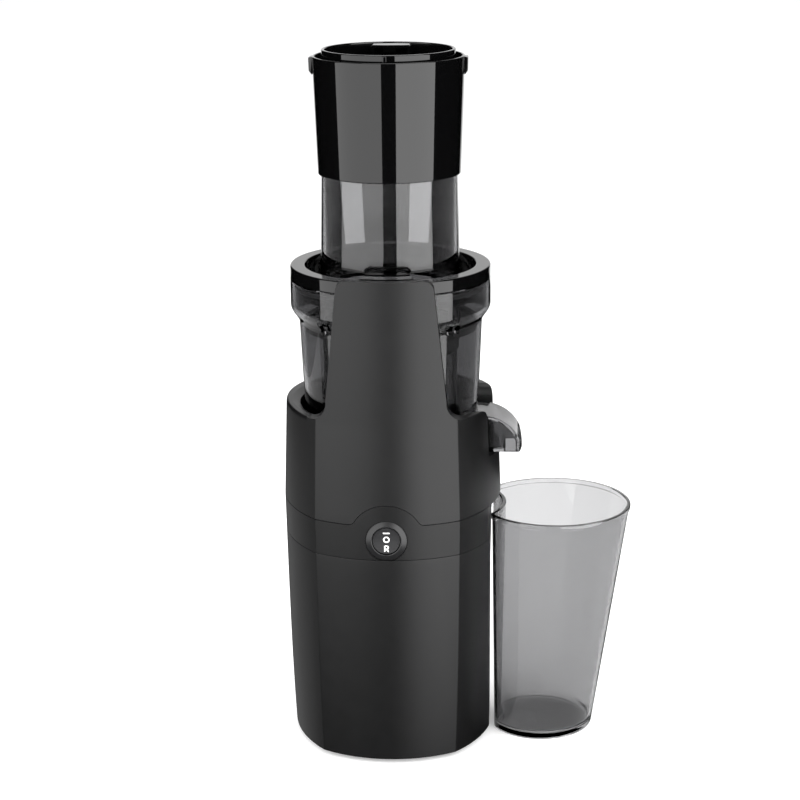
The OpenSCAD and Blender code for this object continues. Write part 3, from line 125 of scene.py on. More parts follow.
table_white = bpy.data.materials.new("table_white")
table_white.use_nodes = True
table_shader = table_white.node_tree.nodes["Principled BSDF"]
table_shader.inputs["Base Color"].default_value = (0.86, 0.86, 0.86, 1)
table_shader.inputs["Roughness"].default_value = 0.7
table_shader.inputs["Emission Color"].default_value = (1.0, 1.0, 1.0, 1)
table_shader.inputs["Emission Strength"].default_value = 0.25
table = flat_disc("table", TABLE_R)
table.visible_glossy = False
table.data.materials.append(table_white)


# Painted shade: glowing sheets, seen only through the clear plastics, put darker upright strips into the feed
# tube and bowl where the white room would show through.
CARD_LOW, CARD_HIGH, CARD_REACH = 0.145, 0.30, 0.5


def painted_shade_card(name, left, right, brightness):
    """Painted shade: an upright, dimly glowing sheet behind the press, which only light that has passed clear
    plastic meets; it darkens what is seen through the clear plastic in an upright strip.
    """
    across = Vector((cos(CAMERA_TURN), sin(CAMERA_TURN), 0))
    middle = Vector((-sin(CAMERA_TURN), cos(CAMERA_TURN), 0)) * CARD_REACH
    corners = [
        middle + across * x + Vector((0, 0, z))
        for x, z in ((left, CARD_LOW), (right, CARD_LOW), (right, CARD_HIGH), (left, CARD_HIGH))
    ]
    mesh = bpy.data.meshes.new(name)
    mesh.from_pydata(corners, [], [(0, 1, 2, 3)])
    card = bpy.data.objects.new(name, mesh)
    scene.collection.objects.link(card)
    painted_shade_paint = bpy.data.materials.new(name + "_paint")
    painted_shade_paint.use_nodes = True
    paint_shader = painted_shade_paint.node_tree.nodes["Principled BSDF"]
    paint_shader.inputs["Base Color"].default_value = (0, 0, 0, 1)
    paint_shader.inputs["Specular IOR Level"].default_value = 0.0
    paint_shader.inputs["Emission Color"].default_value = (1, 1, 1, 1)
    paint_shader.inputs["Emission Strength"].default_value = brightness
    mesh.materials.append(painted_shade_paint)
    card.visible_camera = card.visible_diffuse = card.visible_glossy = card.visible_shadow = False
    return card


# Painted shade in strips: a darker middle strip and two dimmer side strips, seen through the clear plastic.
painted_shade_card("painted_shade_middle", -0.034, 0.0205, 0.02)
painted_shade_card("painted_shade_left", -0.25, -0.068, 0.08)
painted_shade_card("painted_shade_right", 0.050, 0.25, 0.08)


# Lower casing: an injection-moulded shell, widest behind its middle, with gently bulged faces
# that meet at crisp upright edges. A flat recess at the right takes the cup. Soft-touch black
# paint over ABS, open for air at the back.
FOOT_GAP, BAND_Z, SEAM_Z, RIM_Z, TONGUE_Z, DECK_Z = 3.2, 137.0, 159.0, 222.0, 310.0, 184.0
HALF_W, HALF_D, WIDEST_Y = 68.9, 69.0, 6.0
SIDE_BULGE_R, REAR_SIDE_R, FRONT_BULGE_R, CORNER_R = 92.0, 66.0, 85.0, 4.0
FOOT_SHARE, RIM_SHARE, STRAIGHT_TAPER = (0.938, 0.957), (0.967, 0.985), 0.63
WALL, NEST_X, NEST_FRONT_Y, NEST_REAR_Y = 2.6, 62.4, -31.5, 32.3
GLAND_Z, GLAND_R, RING_PITCH = 32.0, 7.0, 12


def arc_points(centre, radius, start, end, steps):
    """Points on an arc, angles in radians."""
    return [
        (
            centre[0] + radius * cos(start + (end - start) * i / steps),
            centre[1] + radius * sin(start + (end - start) * i / steps),
        )
        for i in range(steps + 1)
    ]


def circles_meet(c1, r1, c2, r2, side):
    dx, dy = c2[0] - c1[0], c2[1] - c1[1]
    d = hypot(dx, dy)
    a = (r1 * r1 - r2 * r2 + d * d) / (2 * d)
    h = side * sqrt(max(0.0, r1 * r1 - a * a))
    return c1[0] + (a * dx - h * dy) / d, c1[1] + (a * dy + h * dx) / d


def casing_quarter(inset, bulge_r, widest, bulge_steps=16, corner_steps=6):
    """A side bulge, an upright edge's rounding and half the back's bulge, as points."""
    side_c, back_c = (HALF_W - bulge_r, widest), (0.0, HALF_D - FRONT_BULGE_R)
    side_r, back_r, small_r = bulge_r - inset, FRONT_BULGE_R - inset, max(CORNER_R - inset, 1.0)
    c = circles_meet(side_c, side_r - small_r, back_c, back_r - small_r, 1)
    a1 = atan2(c[1] - side_c[1], c[0] - side_c[0])
    a2 = atan2(c[1] - back_c[1], c[0] - back_c[0])
    return (
        arc_points(side_c, side_r, 0, a1, bulge_steps)
        + arc_points(c, small_r, a1, a2, corner_steps)[1:-1]
        + arc_points(back_c, back_r, a2, pi / 2, bulge_steps)
    )


def casing_plan(inset):
    """The casing's plan at the seam: bulged faces joined by upright edges, counterclockwise."""
    rear = casing_quarter(inset, REAR_SIDE_R, WIDEST_Y)
    front = casing_quarter(inset, SIDE_BULGE_R, -WIDEST_Y)
    back = rear + [(-x, y) for x, y in rear[-2:0:-1]]
    return back + [(-x, -y) for x, y in front] + [(x, -y) for x, y in front[-2:0:-1]]


def casing_ring(z, inset):
    low = max(0.0, (SEAM_Z - z) / (SEAM_Z - FOOT_GAP))
    low = STRAIGHT_TAPER * low + (1 - STRAIGHT_TAPER) * low**4
    high = min(1.0, max(0.0, (z - SEAM_Z) / (RIM_Z - SEAM_Z)))
    sx = 1 - (1 - FOOT_SHARE[0]) * low - (1 - RIM_SHARE[0]) * high
    sy = 1 - (1 - FOOT_SHARE[1]) * low - (1 - RIM_SHARE[1]) * high
    return [(x * sx, y * sy, z) for x, y in casing_plan(inset)]


def new_piece(name, corners, faces, turn=None):
    """An object from points in millimetres, its faces turned outwards."""
    mesh = bpy.data.meshes.new(name)
    mesh.from_pydata([(x * MM, y * MM, z * MM) for x, y, z in corners], [], faces)
    build = bmesh.new()
    build.from_mesh(mesh)
    bmesh.ops.remove_doubles(build, verts=build.verts, dist=1e-7)
    bmesh.ops.recalc_face_normals(build, faces=build.faces)
    build.to_mesh(mesh)
    build.free()
    if turn is not None:
        mesh.transform(turn)
    piece = bpy.data.objects.new(name, mesh)
    scene.collection.objects.link(piece)
    return piece


def stacked(name, rings):
    """A closed solid through rings of points."""
    n, last = len(rings[0]), len(rings) - 1
    faces = [
        (j * n + i, j * n + (i + 1) % n, (j + 1) * n + (i + 1) % n, (j + 1) * n + i)
        for j in range(last) for i in range(n)
    ]
    faces += [tuple(range(n - 1, -1, -1)), tuple(last * n + i for i in range(n))]
    return new_piece(name, [p for ring in rings for p in ring], faces)


def casing_block(name, low, high, inset):
    between = (*range(RING_PITCH, 130, RING_PITCH), SEAM_Z, RIM_Z - 2, RIM_Z, 250, 280)
    heights = [low] + [z for z in between if low + 1 < z < high - 1] + [high]
    return stacked(name, [casing_ring(z, inset) for z in heights])


def block(name, low, high):
    (x0, y0, z0), (x1, y1, z1) = low, high
    return stacked(name, [[(x0, y0, z), (x1, y0, z), (x1, y1, z), (x0, y1, z)] for z in (z0, z1)])


def round_bar(name, radius, low, high, centre=(0.0, 0.0), steps=128, top=None):
    """An upright cylinder, or a cone where top gives another radius for its upper end."""
    top = radius if top is None else top
    return stacked(
        name,
        [
            [
                (centre[0] + r * cos(2 * pi * i / steps), centre[1] + r * sin(2 * pi * i / steps), z)
                for i in range(steps)
            ]
            for r, z in ((radius, low), (top, high))
        ],
    )


def turned(name, profile, steps=144, turn=None):
    """A closed outline of (radius, height), turned round the Z axis."""
    n = len(profile)
    corners = [
        (r * cos(2 * pi * i / steps), r * sin(2 * pi * i / steps), z)
        for i in range(steps) for r, z in profile
    ]
    faces = [
        (i * n + j, ((i + 1) % steps) * n + j, ((i + 1) % steps) * n + (j + 1) % n, i * n + (j + 1) % n)
        for i in range(steps)
        for j in range(n)
        if profile[j][0] > 0 or profile[(j + 1) % n][0] > 0
    ]
    return new_piece(name, corners, faces, turn)


def plate(name, outline, low, high, facing="Z"):
    """An outline drawn as seen along an axis, and its thickness along that axis."""
    place = {
        "Z": lambda a, b, t: (a, b, t), "Y": lambda a, b, t: (a, t, b), "X": lambda a, b, t: (t, a, b)
    }[facing]
    return stacked(name, [[place(a, b, t) for a, b in outline] for t in (low, high)])


def settle(piece):
    """Turns a piece's modifiers into plain mesh."""
    bpy.context.view_layer.update()
    mesh = bpy.data.meshes.new_from_object(piece.evaluated_get(bpy.context.evaluated_depsgraph_get()))
    piece.modifiers.clear()
    piece.data = mesh
    return piece


def carved(piece, cuts=(), joins=(), keep=()):
    """piece with solids joined to it, then others cut out of it, then only what lies in keep."""
    tools = [(t, "UNION") for t in joins]
    tools += [(t, "DIFFERENCE") for t in cuts]
    tools += [(t, "INTERSECT") for t in keep]
    for tool, operation in tools:
        boolean = piece.modifiers.new("carve", "BOOLEAN")
        boolean.operation, boolean.object, boolean.solver = operation, tool, "EXACT"
    settle(piece)
    for tool, _ in tools:
        bpy.data.objects.remove(tool)
    return piece


def rounded(piece, width, angle=35, segments=2):
    """Rounds a piece's sharp edges; width in millimetres."""
    bevel = piece.modifiers.new("round", "BEVEL")
    bevel.width, bevel.segments, bevel.limit_method = width * MM, segments, "ANGLE"
    bevel.angle_limit = radians(angle)
    bevel.use_clamp_overlap = True
    bevel.miter_outer = "MITER_ARC"
    return settle(piece)


def shaded(piece, angle=28):
    """Smooth shading up to an angle between faces, and a crisp edge past it."""
    build = bmesh.new()
    build.from_mesh(piece.data)
    bmesh.ops.remove_doubles(build, verts=build.verts, dist=1e-6)
    for face in build.faces:
        face.smooth = True
    for edge in build.edges:
        edge.smooth = len(edge.link_faces) == 2 and edge.calc_face_angle(0.0) < radians(angle)
    build.to_mesh(piece.data)
    build.free()
    even = piece.modifiers.new("even_shading", "WEIGHTED_NORMAL")
    even.mode, even.weight, even.keep_sharp = "FACE_AREA", 50, True
    return settle(piece)


def finish_piece(piece, material, body, slot, *cad_nodes):
    piece.data.materials.clear()
    piece.data.materials.append(material)
    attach(piece, body)
    if cad_nodes:
        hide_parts(*cad_nodes)
    return piece


def shader_material(name, colour, roughness, **sockets):
    """A new material with constant values on its shader: (material, shader node, its tree)."""
    material = bpy.data.materials.new(name)
    material.use_nodes = True
    tree = material.node_tree
    shader = tree.nodes["Principled BSDF"]
    shader.inputs["Base Color"].default_value = (*colour, 1)
    shader.inputs["Roughness"].default_value = roughness
    for socket, value in sockets.items():
        shader.inputs[socket.replace("_", " ")].default_value = value
    return material, shader, tree


def add_grain(tree, shader, scale, height, colours=None, roughness=None, stretch=(1, 1, 1), detail=3.0):
    """Fine relief from noise; optionally the same noise varies colour and roughness."""
    place = tree.nodes.new("ShaderNodeTexCoord")
    mapping = tree.nodes.new("ShaderNodeMapping")
    mapping.inputs["Scale"].default_value = stretch
    noise = tree.nodes.new("ShaderNodeTexNoise")
    noise.inputs["Scale"].default_value = scale
    noise.inputs["Detail"].default_value = detail
    bump = tree.nodes.new("ShaderNodeBump")
    bump.inputs["Distance"].default_value = height * MM
    bump.inputs["Strength"].default_value = 1.0
    tree.links.new(place.outputs["Object"], mapping.inputs["Vector"])
    tree.links.new(mapping.outputs["Vector"], noise.inputs["Vector"])
    tree.links.new(noise.outputs["Fac"], bump.inputs["Height"])
    tree.links.new(bump.outputs["Normal"], shader.inputs["Normal"])
    broad = tree.nodes.new("ShaderNodeTexNoise")
    broad.inputs["Scale"].default_value = scale / 25
    broad.inputs["Detail"].default_value = 4.0
    tree.links.new(mapping.outputs["Vector"], broad.inputs["Vector"])
    if colours:
        ramp = tree.nodes.new("ShaderNodeValToRGB")
        for stop, position, colour in zip(ramp.color_ramp.elements, (0.3, 0.7), colours):
            stop.position = position
            stop.color = (*colour, 1)
        tree.links.new(broad.outputs["Fac"], ramp.inputs["Fac"])
        tree.links.new(ramp.outputs["Color"], shader.inputs["Base Color"])
    if roughness:
        spread = tree.nodes.new("ShaderNodeMapRange")
        spread.inputs["To Min"].default_value, spread.inputs["To Max"].default_value = roughness
        tree.links.new(broad.outputs["Fac"], spread.inputs["Value"])
        tree.links.new(spread.outputs["Result"], shader.inputs["Roughness"])


soft_touch, shader, tree = shader_material(
    "soft_touch_black", (0.0035, 0.0035, 0.0037), 0.40, Specular_IOR_Level=0.4
)
add_grain(tree, shader, 2600, 0.010, ((0.0031, 0.0031, 0.0033), (0.0039, 0.0039, 0.0041)), (0.38, 0.43))


def nest_block(grow):
    return block("nest", (NEST_X - grow, NEST_FRONT_Y - grow, -1), (NEST_X + 40, NEST_REAR_Y + grow, SEAM_Z))


def rear_louvres():
    """Two columns of seven slots with round ends, placed by a Geometry Nodes grid."""
    slot = plate(
        "louvre",
        arc_points((10, 0), 1.0, -pi / 2, pi / 2, 8) + arc_points((-10, 0), 1.0, pi / 2, 3 * pi / 2, 8),
        40,
        100,
        "Y",
    )
    tree = bpy.data.node_groups.new("louvre_grid", "GeometryNodeTree")
    tree.interface.new_socket("Geometry", in_out="INPUT", socket_type="NodeSocketGeometry")
    for label in ("Columns", "Rows"):
        tree.interface.new_socket(label, in_out="INPUT", socket_type="NodeSocketInt")
    for label in ("Width", "Height"):
        tree.interface.new_socket(label, in_out="INPUT", socket_type="NodeSocketFloat")
    tree.interface.new_socket("Geometry", in_out="OUTPUT", socket_type="NodeSocketGeometry")
    start, end = tree.nodes.new("NodeGroupInput"), tree.nodes.new("NodeGroupOutput")
    grid, upright = tree.nodes.new("GeometryNodeMeshGrid"), tree.nodes.new("GeometryNodeTransform")
    upright.inputs["Rotation"].default_value = (pi / 2, 0, 0)
    upright.inputs["Translation"].default_value = (0, 0, (GLAND_Z + 7) * MM)
    copies = tree.nodes.new("GeometryNodeInstanceOnPoints")
    real = tree.nodes.new("GeometryNodeRealizeInstances")
    grid_sides = {"Columns": "Vertices X", "Rows": "Vertices Y", "Width": "Size X", "Height": "Size Y"}
    for label, socket in grid_sides.items():
        tree.links.new(start.outputs[label], grid.inputs[socket])
    tree.links.new(grid.outputs["Mesh"], upright.inputs["Geometry"])
    tree.links.new(upright.outputs["Geometry"], copies.inputs["Points"])
    tree.links.new(start.outputs["Geometry"], copies.inputs["Instance"])
    tree.links.new(copies.outputs["Instances"], real.inputs["Geometry"])
    tree.links.new(real.outputs["Geometry"], end.inputs["Geometry"])
    modifier = slot.modifiers.new("grid", "NODES")
    modifier.node_group = tree
    sockets = {item.name: item.identifier for item in tree.interface.items_tree if item.in_out == "INPUT"}
    for label, value in (("Columns", 2), ("Rows", 7), ("Width", 60 * MM), ("Height", 42 * MM)):
        modifier[sockets[label]] = value
    return settle(slot)


lower_casing = stacked(
    "lower_casing_shell",
    [
        casing_ring(FOOT_GAP + 0.6 - 0.6 * cos(radians(a)), 0.6 - 0.6 * sin(radians(a)))
        for a in range(0, 91, 18)
    ]
    + [casing_ring(z, 0) for z in range(RING_PITCH, 133, RING_PITCH)]
    + [casing_ring(BAND_Z - 0.35, 0), casing_ring(BAND_Z - 0.1, 0.08), casing_ring(BAND_Z, 0.35)],
)
hollow = carved(casing_block("hollow", -1, BAND_Z + 1, WALL), cuts=[nest_block(WALL)])
gland_hole = plate("gland_hole", arc_points((0, GLAND_Z), GLAND_R - 1.3, 0, 2 * pi, 48)[:-1], 40, 100, "Y")
carved(lower_casing, cuts=[hollow, nest_block(0), rear_louvres(), gland_hole])
rounded(lower_casing, 0.5, 45)
shaded(lower_casing)
finish_piece(lower_casing, soft_touch, "root", "soft_touch_grey", "lower_casing")


# Control band: a separate moulded belt in a slightly darker paint. It runs round the casing
# above a fine joint, rises in an arch over the switch and has a shallow seat for its bezel.
SWITCH_Z, ARCH_R, BEZEL_R, SWITCH_FRONT = 149.6, 22.7, 12.5, -67.8
SWITCH_BODY_R, BEZEL_SEAT_Y = 10.39, SWITCH_FRONT + 0.55
band_paint, shader, tree = shader_material(
    "soft_touch_band", (0.0030, 0.0030, 0.0032), 0.38, Specular_IOR_Level=0.36
)
add_grain(tree, shader, 2600, 0.010, ((0.0027, 0.0027, 0.0028), (0.0034, 0.0034, 0.0036)), (0.36, 0.41))


def front_disc(name, profile, steps=96):
    """An outline of (radius, y) turned round the switch's axis."""
    turn = Matrix.Translation((0, 0, SWITCH_Z * MM)) @ Matrix.Rotation(pi / 2, 4, "X")
    return turned(name, [(r, -y) for r, y in profile], steps, turn)


def arch_block(grow, low=-100, high=0):
    """The arch over the switch, with a small fillet where it runs out into the seam."""
    r, fillet = ARCH_R + grow, 5.0
    rise = SEAM_Z - SWITCH_Z + grow
    reach = sqrt((r + fillet) ** 2 - (rise + fillet) ** 2)
    meet = atan2(rise + fillet, reach)
    right = arc_points((reach, SWITCH_Z + rise + fillet), fillet, -pi / 2, meet - pi, 8)
    top = arc_points((0, SWITCH_Z), r, meet, pi - meet, 40)
    left = [(-x, z) for x, z in reversed(right)]
    foot = SEAM_Z - 12
    return plate("arch", [(reach, foot)] + right + top[1:-1] + left + [(-reach, foot)], low, high, "Y")


control_band = stacked(
    "control_band_belt",
    [
        casing_ring(z, inset)
        for z, inset in (
            (BAND_Z + 0.05, 0.35), (BAND_Z + 0.15, 0.08), (BAND_Z + 0.4, 0), (SEAM_Z, 0), (176, 0)
        )
    ],
)
above_seam = carved(block("above_seam", (-90, -90, SEAM_Z - 0.1), (90, 90, 190)), cuts=[arch_block(-0.1)])
hollow = carved(casing_block("hollow", BAND_Z - 1, 180, WALL), cuts=[nest_block(WALL)])
hole_r = SWITCH_BODY_R + 0.2
seat = front_disc(
    "seat",
    [
        (0, -80),
        (BEZEL_R + 0.5, -80),
        (BEZEL_R + 0.5, BEZEL_SEAT_Y),
        (hole_r, BEZEL_SEAT_Y),
        (hole_r, -45),
        (0, -45),
    ],
)
carved(control_band, cuts=[above_seam, hollow, nest_block(0), seat])
rounded(control_band, 0.35, 45)
shaded(control_band)
finish_piece(control_band, band_paint, "root", "soft_touch_dark", "control_band")


# Upper casing: the bowl's well with the tall front tongue, one moulding in the same soft-touch
# paint. Notches at the right and the back let the spout and the pulp outlet through.
WELL_R, TONGUE_IN_R, DISH_OUT_R = 57.6, 62.6, 62.4
TONGUE_TOP_W, TONGUE_ROOT_W, TONGUE_CORNER_R, TONGUE_FLARE_R, TONGUE_WALL = 58.6, 74.0, 6.5, 12.0, 2.0
NOTCH_W, PULP_NOTCH_W, NOTCH_Z, NOTCH_CORNER_R = 54.0, 40.0, 190.4, 7.0


def tongue_outline(inset, flare):
    """Front view of the tongue; with flare it runs out into the rim on both sides."""
    top, root = TONGUE_TOP_W / 2 - inset, TONGUE_ROOT_W / 2 - inset
    r, crown = TONGUE_CORNER_R, TONGUE_Z - inset
    right = arc_points((top - r, crown - r), r, 0, pi / 2, 10)
    if flare:
        slope = (TONGUE_ROOT_W - TONGUE_TOP_W) / 2 / (TONGUE_Z - RIM_Z)
        lean = radians(90) - atan2(1, slope)
        f = TONGUE_FLARE_R
        centre = (root + f * 0.95, RIM_Z + f)
        flare_out = arc_points(centre, f, -pi / 2, -pi - lean, 12)
        right = [(root + f, RIM_Z - 6), (root + f, RIM_Z)] + flare_out[1:] + right
    else:
        right = [(root, RIM_Z - 1)] + right
    return right + [(-x, z) for x, z in reversed(right)]


def notch_tool(width, grow, facing):
    """A slot through the wall, open at the rim, its upper corners flared."""
    half, r = width / 2 + grow, NOTCH_CORNER_R
    if grow:
        right = [(half, NOTCH_Z - grow), (half, RIM_Z + 20)]
    else:
        lower = arc_points((half - 3, NOTCH_Z + 3), 3.0, -pi / 2, 0, 6)
        right = lower + arc_points((half + r, RIM_Z - r), r, pi, pi / 2, 10) + [(half + r, RIM_Z + 20)]
    return plate("notch", right + [(-a, z) for a, z in reversed(right)], 40, 100, facing)


upper_casing = stacked(
    "upper_casing_shell",
    [casing_ring(SEAM_Z + 0.1, 0.35), casing_ring(SEAM_Z + 0.2, 0.1), casing_ring(SEAM_Z + 0.45, 0)]
    + [casing_ring(z, 0) for z in (*range(166, 215, 6), RIM_Z - 4, RIM_Z - 2)]
    + [casing_ring(RIM_Z - 2 + 2 * sin(radians(a)), 1.6 - 1.6 * cos(radians(a))) for a in range(18, 91, 18)],
)
tongue = carved(
    casing_block("tongue", RIM_Z - 4, TONGUE_Z + 5, 0),
    keep=[plate("tongue_face", tongue_outline(0, True), -90, -20, "Y")],
)
hollow = casing_block("hollow", SEAM_Z - 1, RIM_Z - 3, WALL)
carved(
    hollow,
    cuts=[
        round_bar("well", WELL_R + WALL, DECK_Z, RIM_Z),
        notch_tool(NOTCH_W, WALL, "X"),
        notch_tool(PULP_NOTCH_W, WALL, "Y"),
        block(
            "ledge",
            (NEST_X - WALL, NEST_FRONT_Y - WALL, SEAM_Z - 2),
            (90, NEST_REAR_Y + WALL, SEAM_Z + WALL),
        ),
    ],
)
tongue_room = carved(
    casing_block("tongue_room", RIM_Z + WALL, TONGUE_Z - TONGUE_WALL, TONGUE_WALL),
    cuts=[round_bar("core", TONGUE_IN_R - 1, RIM_Z - 5, TONGUE_Z + 5)],
    keep=[plate("tongue_face", tongue_outline(TONGUE_WALL, False), -90, -20, "Y")],
)
carved(
    upper_casing,
    joins=[tongue],
    cuts=[
        hollow,
        round_bar("well", WELL_R, DECK_Z - 1, RIM_Z + 2, steps=192),
        round_bar("behind_tongue", TONGUE_IN_R, RIM_Z - 0.01, TONGUE_Z + 8, steps=192),
        round_bar("dish", WELL_R, RIM_Z - 2.2, RIM_Z + 0.01, steps=192, top=DISH_OUT_R),
        notch_tool(NOTCH_W, 0, "X"),
        notch_tool(PULP_NOTCH_W, 0, "Y"),
        arch_block(0.2),
        tongue_room,
    ],
)
rounded(upper_casing, 0.6, 45)
shaded(upper_casing)
finish_piece(upper_casing, soft_touch, "root", "soft_touch_grey", "upper_casing")


# Tongue cover and magnet sensor: a thin curved moulding closes the tongue's hollow towards the
# bowl, and a small sensor block behind it tells the board that the lid's magnet is in place.
def dress(material, *names):
    """Gives CAD nodes a finish; their shapes stay as packed."""
    for name in names:
        data = nodes[name].data
        if not data.materials:
            data.materials.append(material)
        for slot in nodes[name].material_slots:
            slot.material = material


def moulded(name, colour, roughness, scale=900, relief=0.01, spread=0.05, **sockets):
    """A moulded or cast finish: slightly uneven colour and gloss over a fine relief."""
    material, shader, tree = shader_material(name, colour, roughness, **sockets)
    darker, lighter = [c * 0.86 for c in colour], [min(1.0, c * 1.12) for c in colour]
    add_grain(tree, shader, scale, relief, (darker, lighter), (roughness - spread, roughness + spread))
    return material


moulded_black = moulded("moulded_black", (0.012, 0.012, 0.013), 0.5)
nylon_white = moulded("nylon_white", (0.72, 0.72, 0.68), 0.42, 500, 0.008)
dress(moulded_black, "tongue_cover")
dress(nylon_white, "reed_sensor")


# Switch: a round rocker in a raised conical bezel, pressed into the band from the front. Its
# saddle-shaped face carries three painted marks: a bar, a ring and the letter R.
ROCKER_BORE_R, ROCKER_BALL_R, PIVOT_DROP, SADDLE_R = 8.79, 8.64, 2.4, 30.0
PIVOT_Y = SWITCH_FRONT + PIVOT_DROP
MARK_DEPTH, MARK_STROKE = 0.06, 0.75
bezel_black = moulded("bezel_black", (0.010, 0.010, 0.0105), 0.30, 1400, 0.006)
rocker_black = moulded("rocker_black", (0.016, 0.016, 0.017), 0.36, 1800, 0.010)
mark_paint = moulded("mark_paint", (0.80, 0.80, 0.79), 0.45, 2500, 0.004)

bezel = front_disc(
    "switch_bezel_ring",
    [(ROCKER_BORE_R, SWITCH_FRONT + 1.59), (ROCKER_BORE_R, SWITCH_FRONT - 0.65)]
    + [
        (ROCKER_BORE_R + 0.5 - 0.5 * cos(radians(a)), SWITCH_FRONT - 0.65 - 0.4 * sin(radians(a)))
        for a in range(20, 111, 15)
    ]
    + [(BEZEL_R - 0.15, SWITCH_FRONT + 0.05), (BEZEL_R, SWITCH_FRONT + 0.2), (BEZEL_R, SWITCH_FRONT + 0.45)]
    + [(SWITCH_BODY_R, SWITCH_FRONT + 0.45), (SWITCH_BODY_R, SWITCH_FRONT + 1.59)],
)
finish_piece(shaded(bezel, 40), bezel_black, "root", "gloss_black", "switch_bezel")

rocker = front_disc(
    "rocker_button",
    [(0, PIVOT_Y - 2.8)]
    + [
        (ROCKER_BALL_R * sin(radians(a)), PIVOT_Y - ROCKER_BALL_R * cos(radians(a)))
        for a in range(71, 123, 6)
    ]
    + [(0, PIVOT_Y + 4.6)],
    128,
)
saddle = plate(
    "saddle",
    arc_points((SWITCH_FRONT - SADDLE_R + 0.5, SWITCH_Z), SADDLE_R, 0, 2 * pi, 256)[:-1],
    -20,
    20,
    "X",
)
carved(rocker, cuts=[saddle])
rounded(rocker, 0.3, 40, 3)
finish_piece(shaded(rocker), rocker_black, "rocker", "rocker_black", "rocker")


def saddle_y(z):
    return SWITCH_FRONT - SADDLE_R + 0.5 + sqrt(SADDLE_R**2 - (z - SWITCH_Z) ** 2)


def painted_stroke(path, width, closed=False):
    """Corners and faces of one flat brush stroke along points of the rocker's face."""
    n = len(path)
    sides = []
    for i, (x, z) in enumerate(path):
        before = path[i - 1] if closed or i else path[i]
        after = path[(i + 1) % n] if closed or i < n - 1 else path[i]
        dx, dz = after[0] - before[0], after[1] - before[1]
        length = hypot(dx, dz)
        sides.append([(x - s * dz / length * width / 2, z + s * dx / length * width / 2) for s in (1, -1)])
    ring = [
        [
            (a[0], saddle_y(a[1]) - t, a[1])
            for a, t in ((left, MARK_DEPTH), (right, MARK_DEPTH), (right, -0.2), (left, -0.2))
        ]
        for left, right in sides
    ]
    corners = [p for four in ring for p in four]
    last = n if closed else n - 1
    faces = [
        (4 * i + j, 4 * i + (j + 1) % 4, 4 * ((i + 1) % n) + (j + 1) % 4, 4 * ((i + 1) % n) + j)
        for i in range(last) for j in range(4)
    ]
    if not closed:
        faces += [(3, 2, 1, 0), tuple(4 * (n - 1) + j for j in range(4))]
    return corners, faces


def letter_bow(centre, radius, steps=10):
    return arc_points(centre, radius, pi / 2, -pi / 2, steps)


strokes = [
    painted_stroke([(-2.0 + 0.25 * i, SWITCH_Z + 4.9) for i in range(17)], 0.85),
    painted_stroke(arc_points((0, SWITCH_Z + 0.65), 1.6, 0, 2 * pi, 32)[:-1], 0.8, closed=True),
    painted_stroke([(-1.0, SWITCH_Z - 6.8 + 0.35 * i) for i in range(11)], MARK_STROKE),
    painted_stroke(
        [(-0.9, SWITCH_Z - 3.4), (0.2, SWITCH_Z - 3.4)]
        + letter_bow((0.2, SWITCH_Z - 4.35), 0.95)[1:]
        + [(-0.9, SWITCH_Z - 5.3)],
        MARK_STROKE,
    ),
    painted_stroke([(0.1, SWITCH_Z - 5.3), (0.7, SWITCH_Z - 6.05), (1.3, SWITCH_Z - 6.8)], MARK_STROKE),
]
mark_corners, mark_faces = [], []
for corners, faces in strokes:
    mark_faces += [tuple(i + len(mark_corners) for i in face) for face in faces]
    mark_corners += corners
finish_piece(new_piece("rocker_marks", mark_corners, mark_faces), mark_paint, "rocker", "nylon_white")
dress(moulded_black, "switch_body")


# Deck: a black moulding that floors the bowl's well and carries the gearbox on four legs, with
# the seal round the drive shaft and four screws from below.
SCREW_R, HEAD_R, HEAD_H, DECK_T = 1.6, 3.0, 2.0, 4.0
BOSS_RING_R = WELL_R + 4.4
seal_rubber = moulded("seal_rubber", (0.055, 0.022, 0.014), 0.6, 1200, 0.01)
zinc_steel = moulded("zinc_steel", (0.62, 0.62, 0.60), 0.28, 700, 0.006, 0.06, Metallic=1.0)


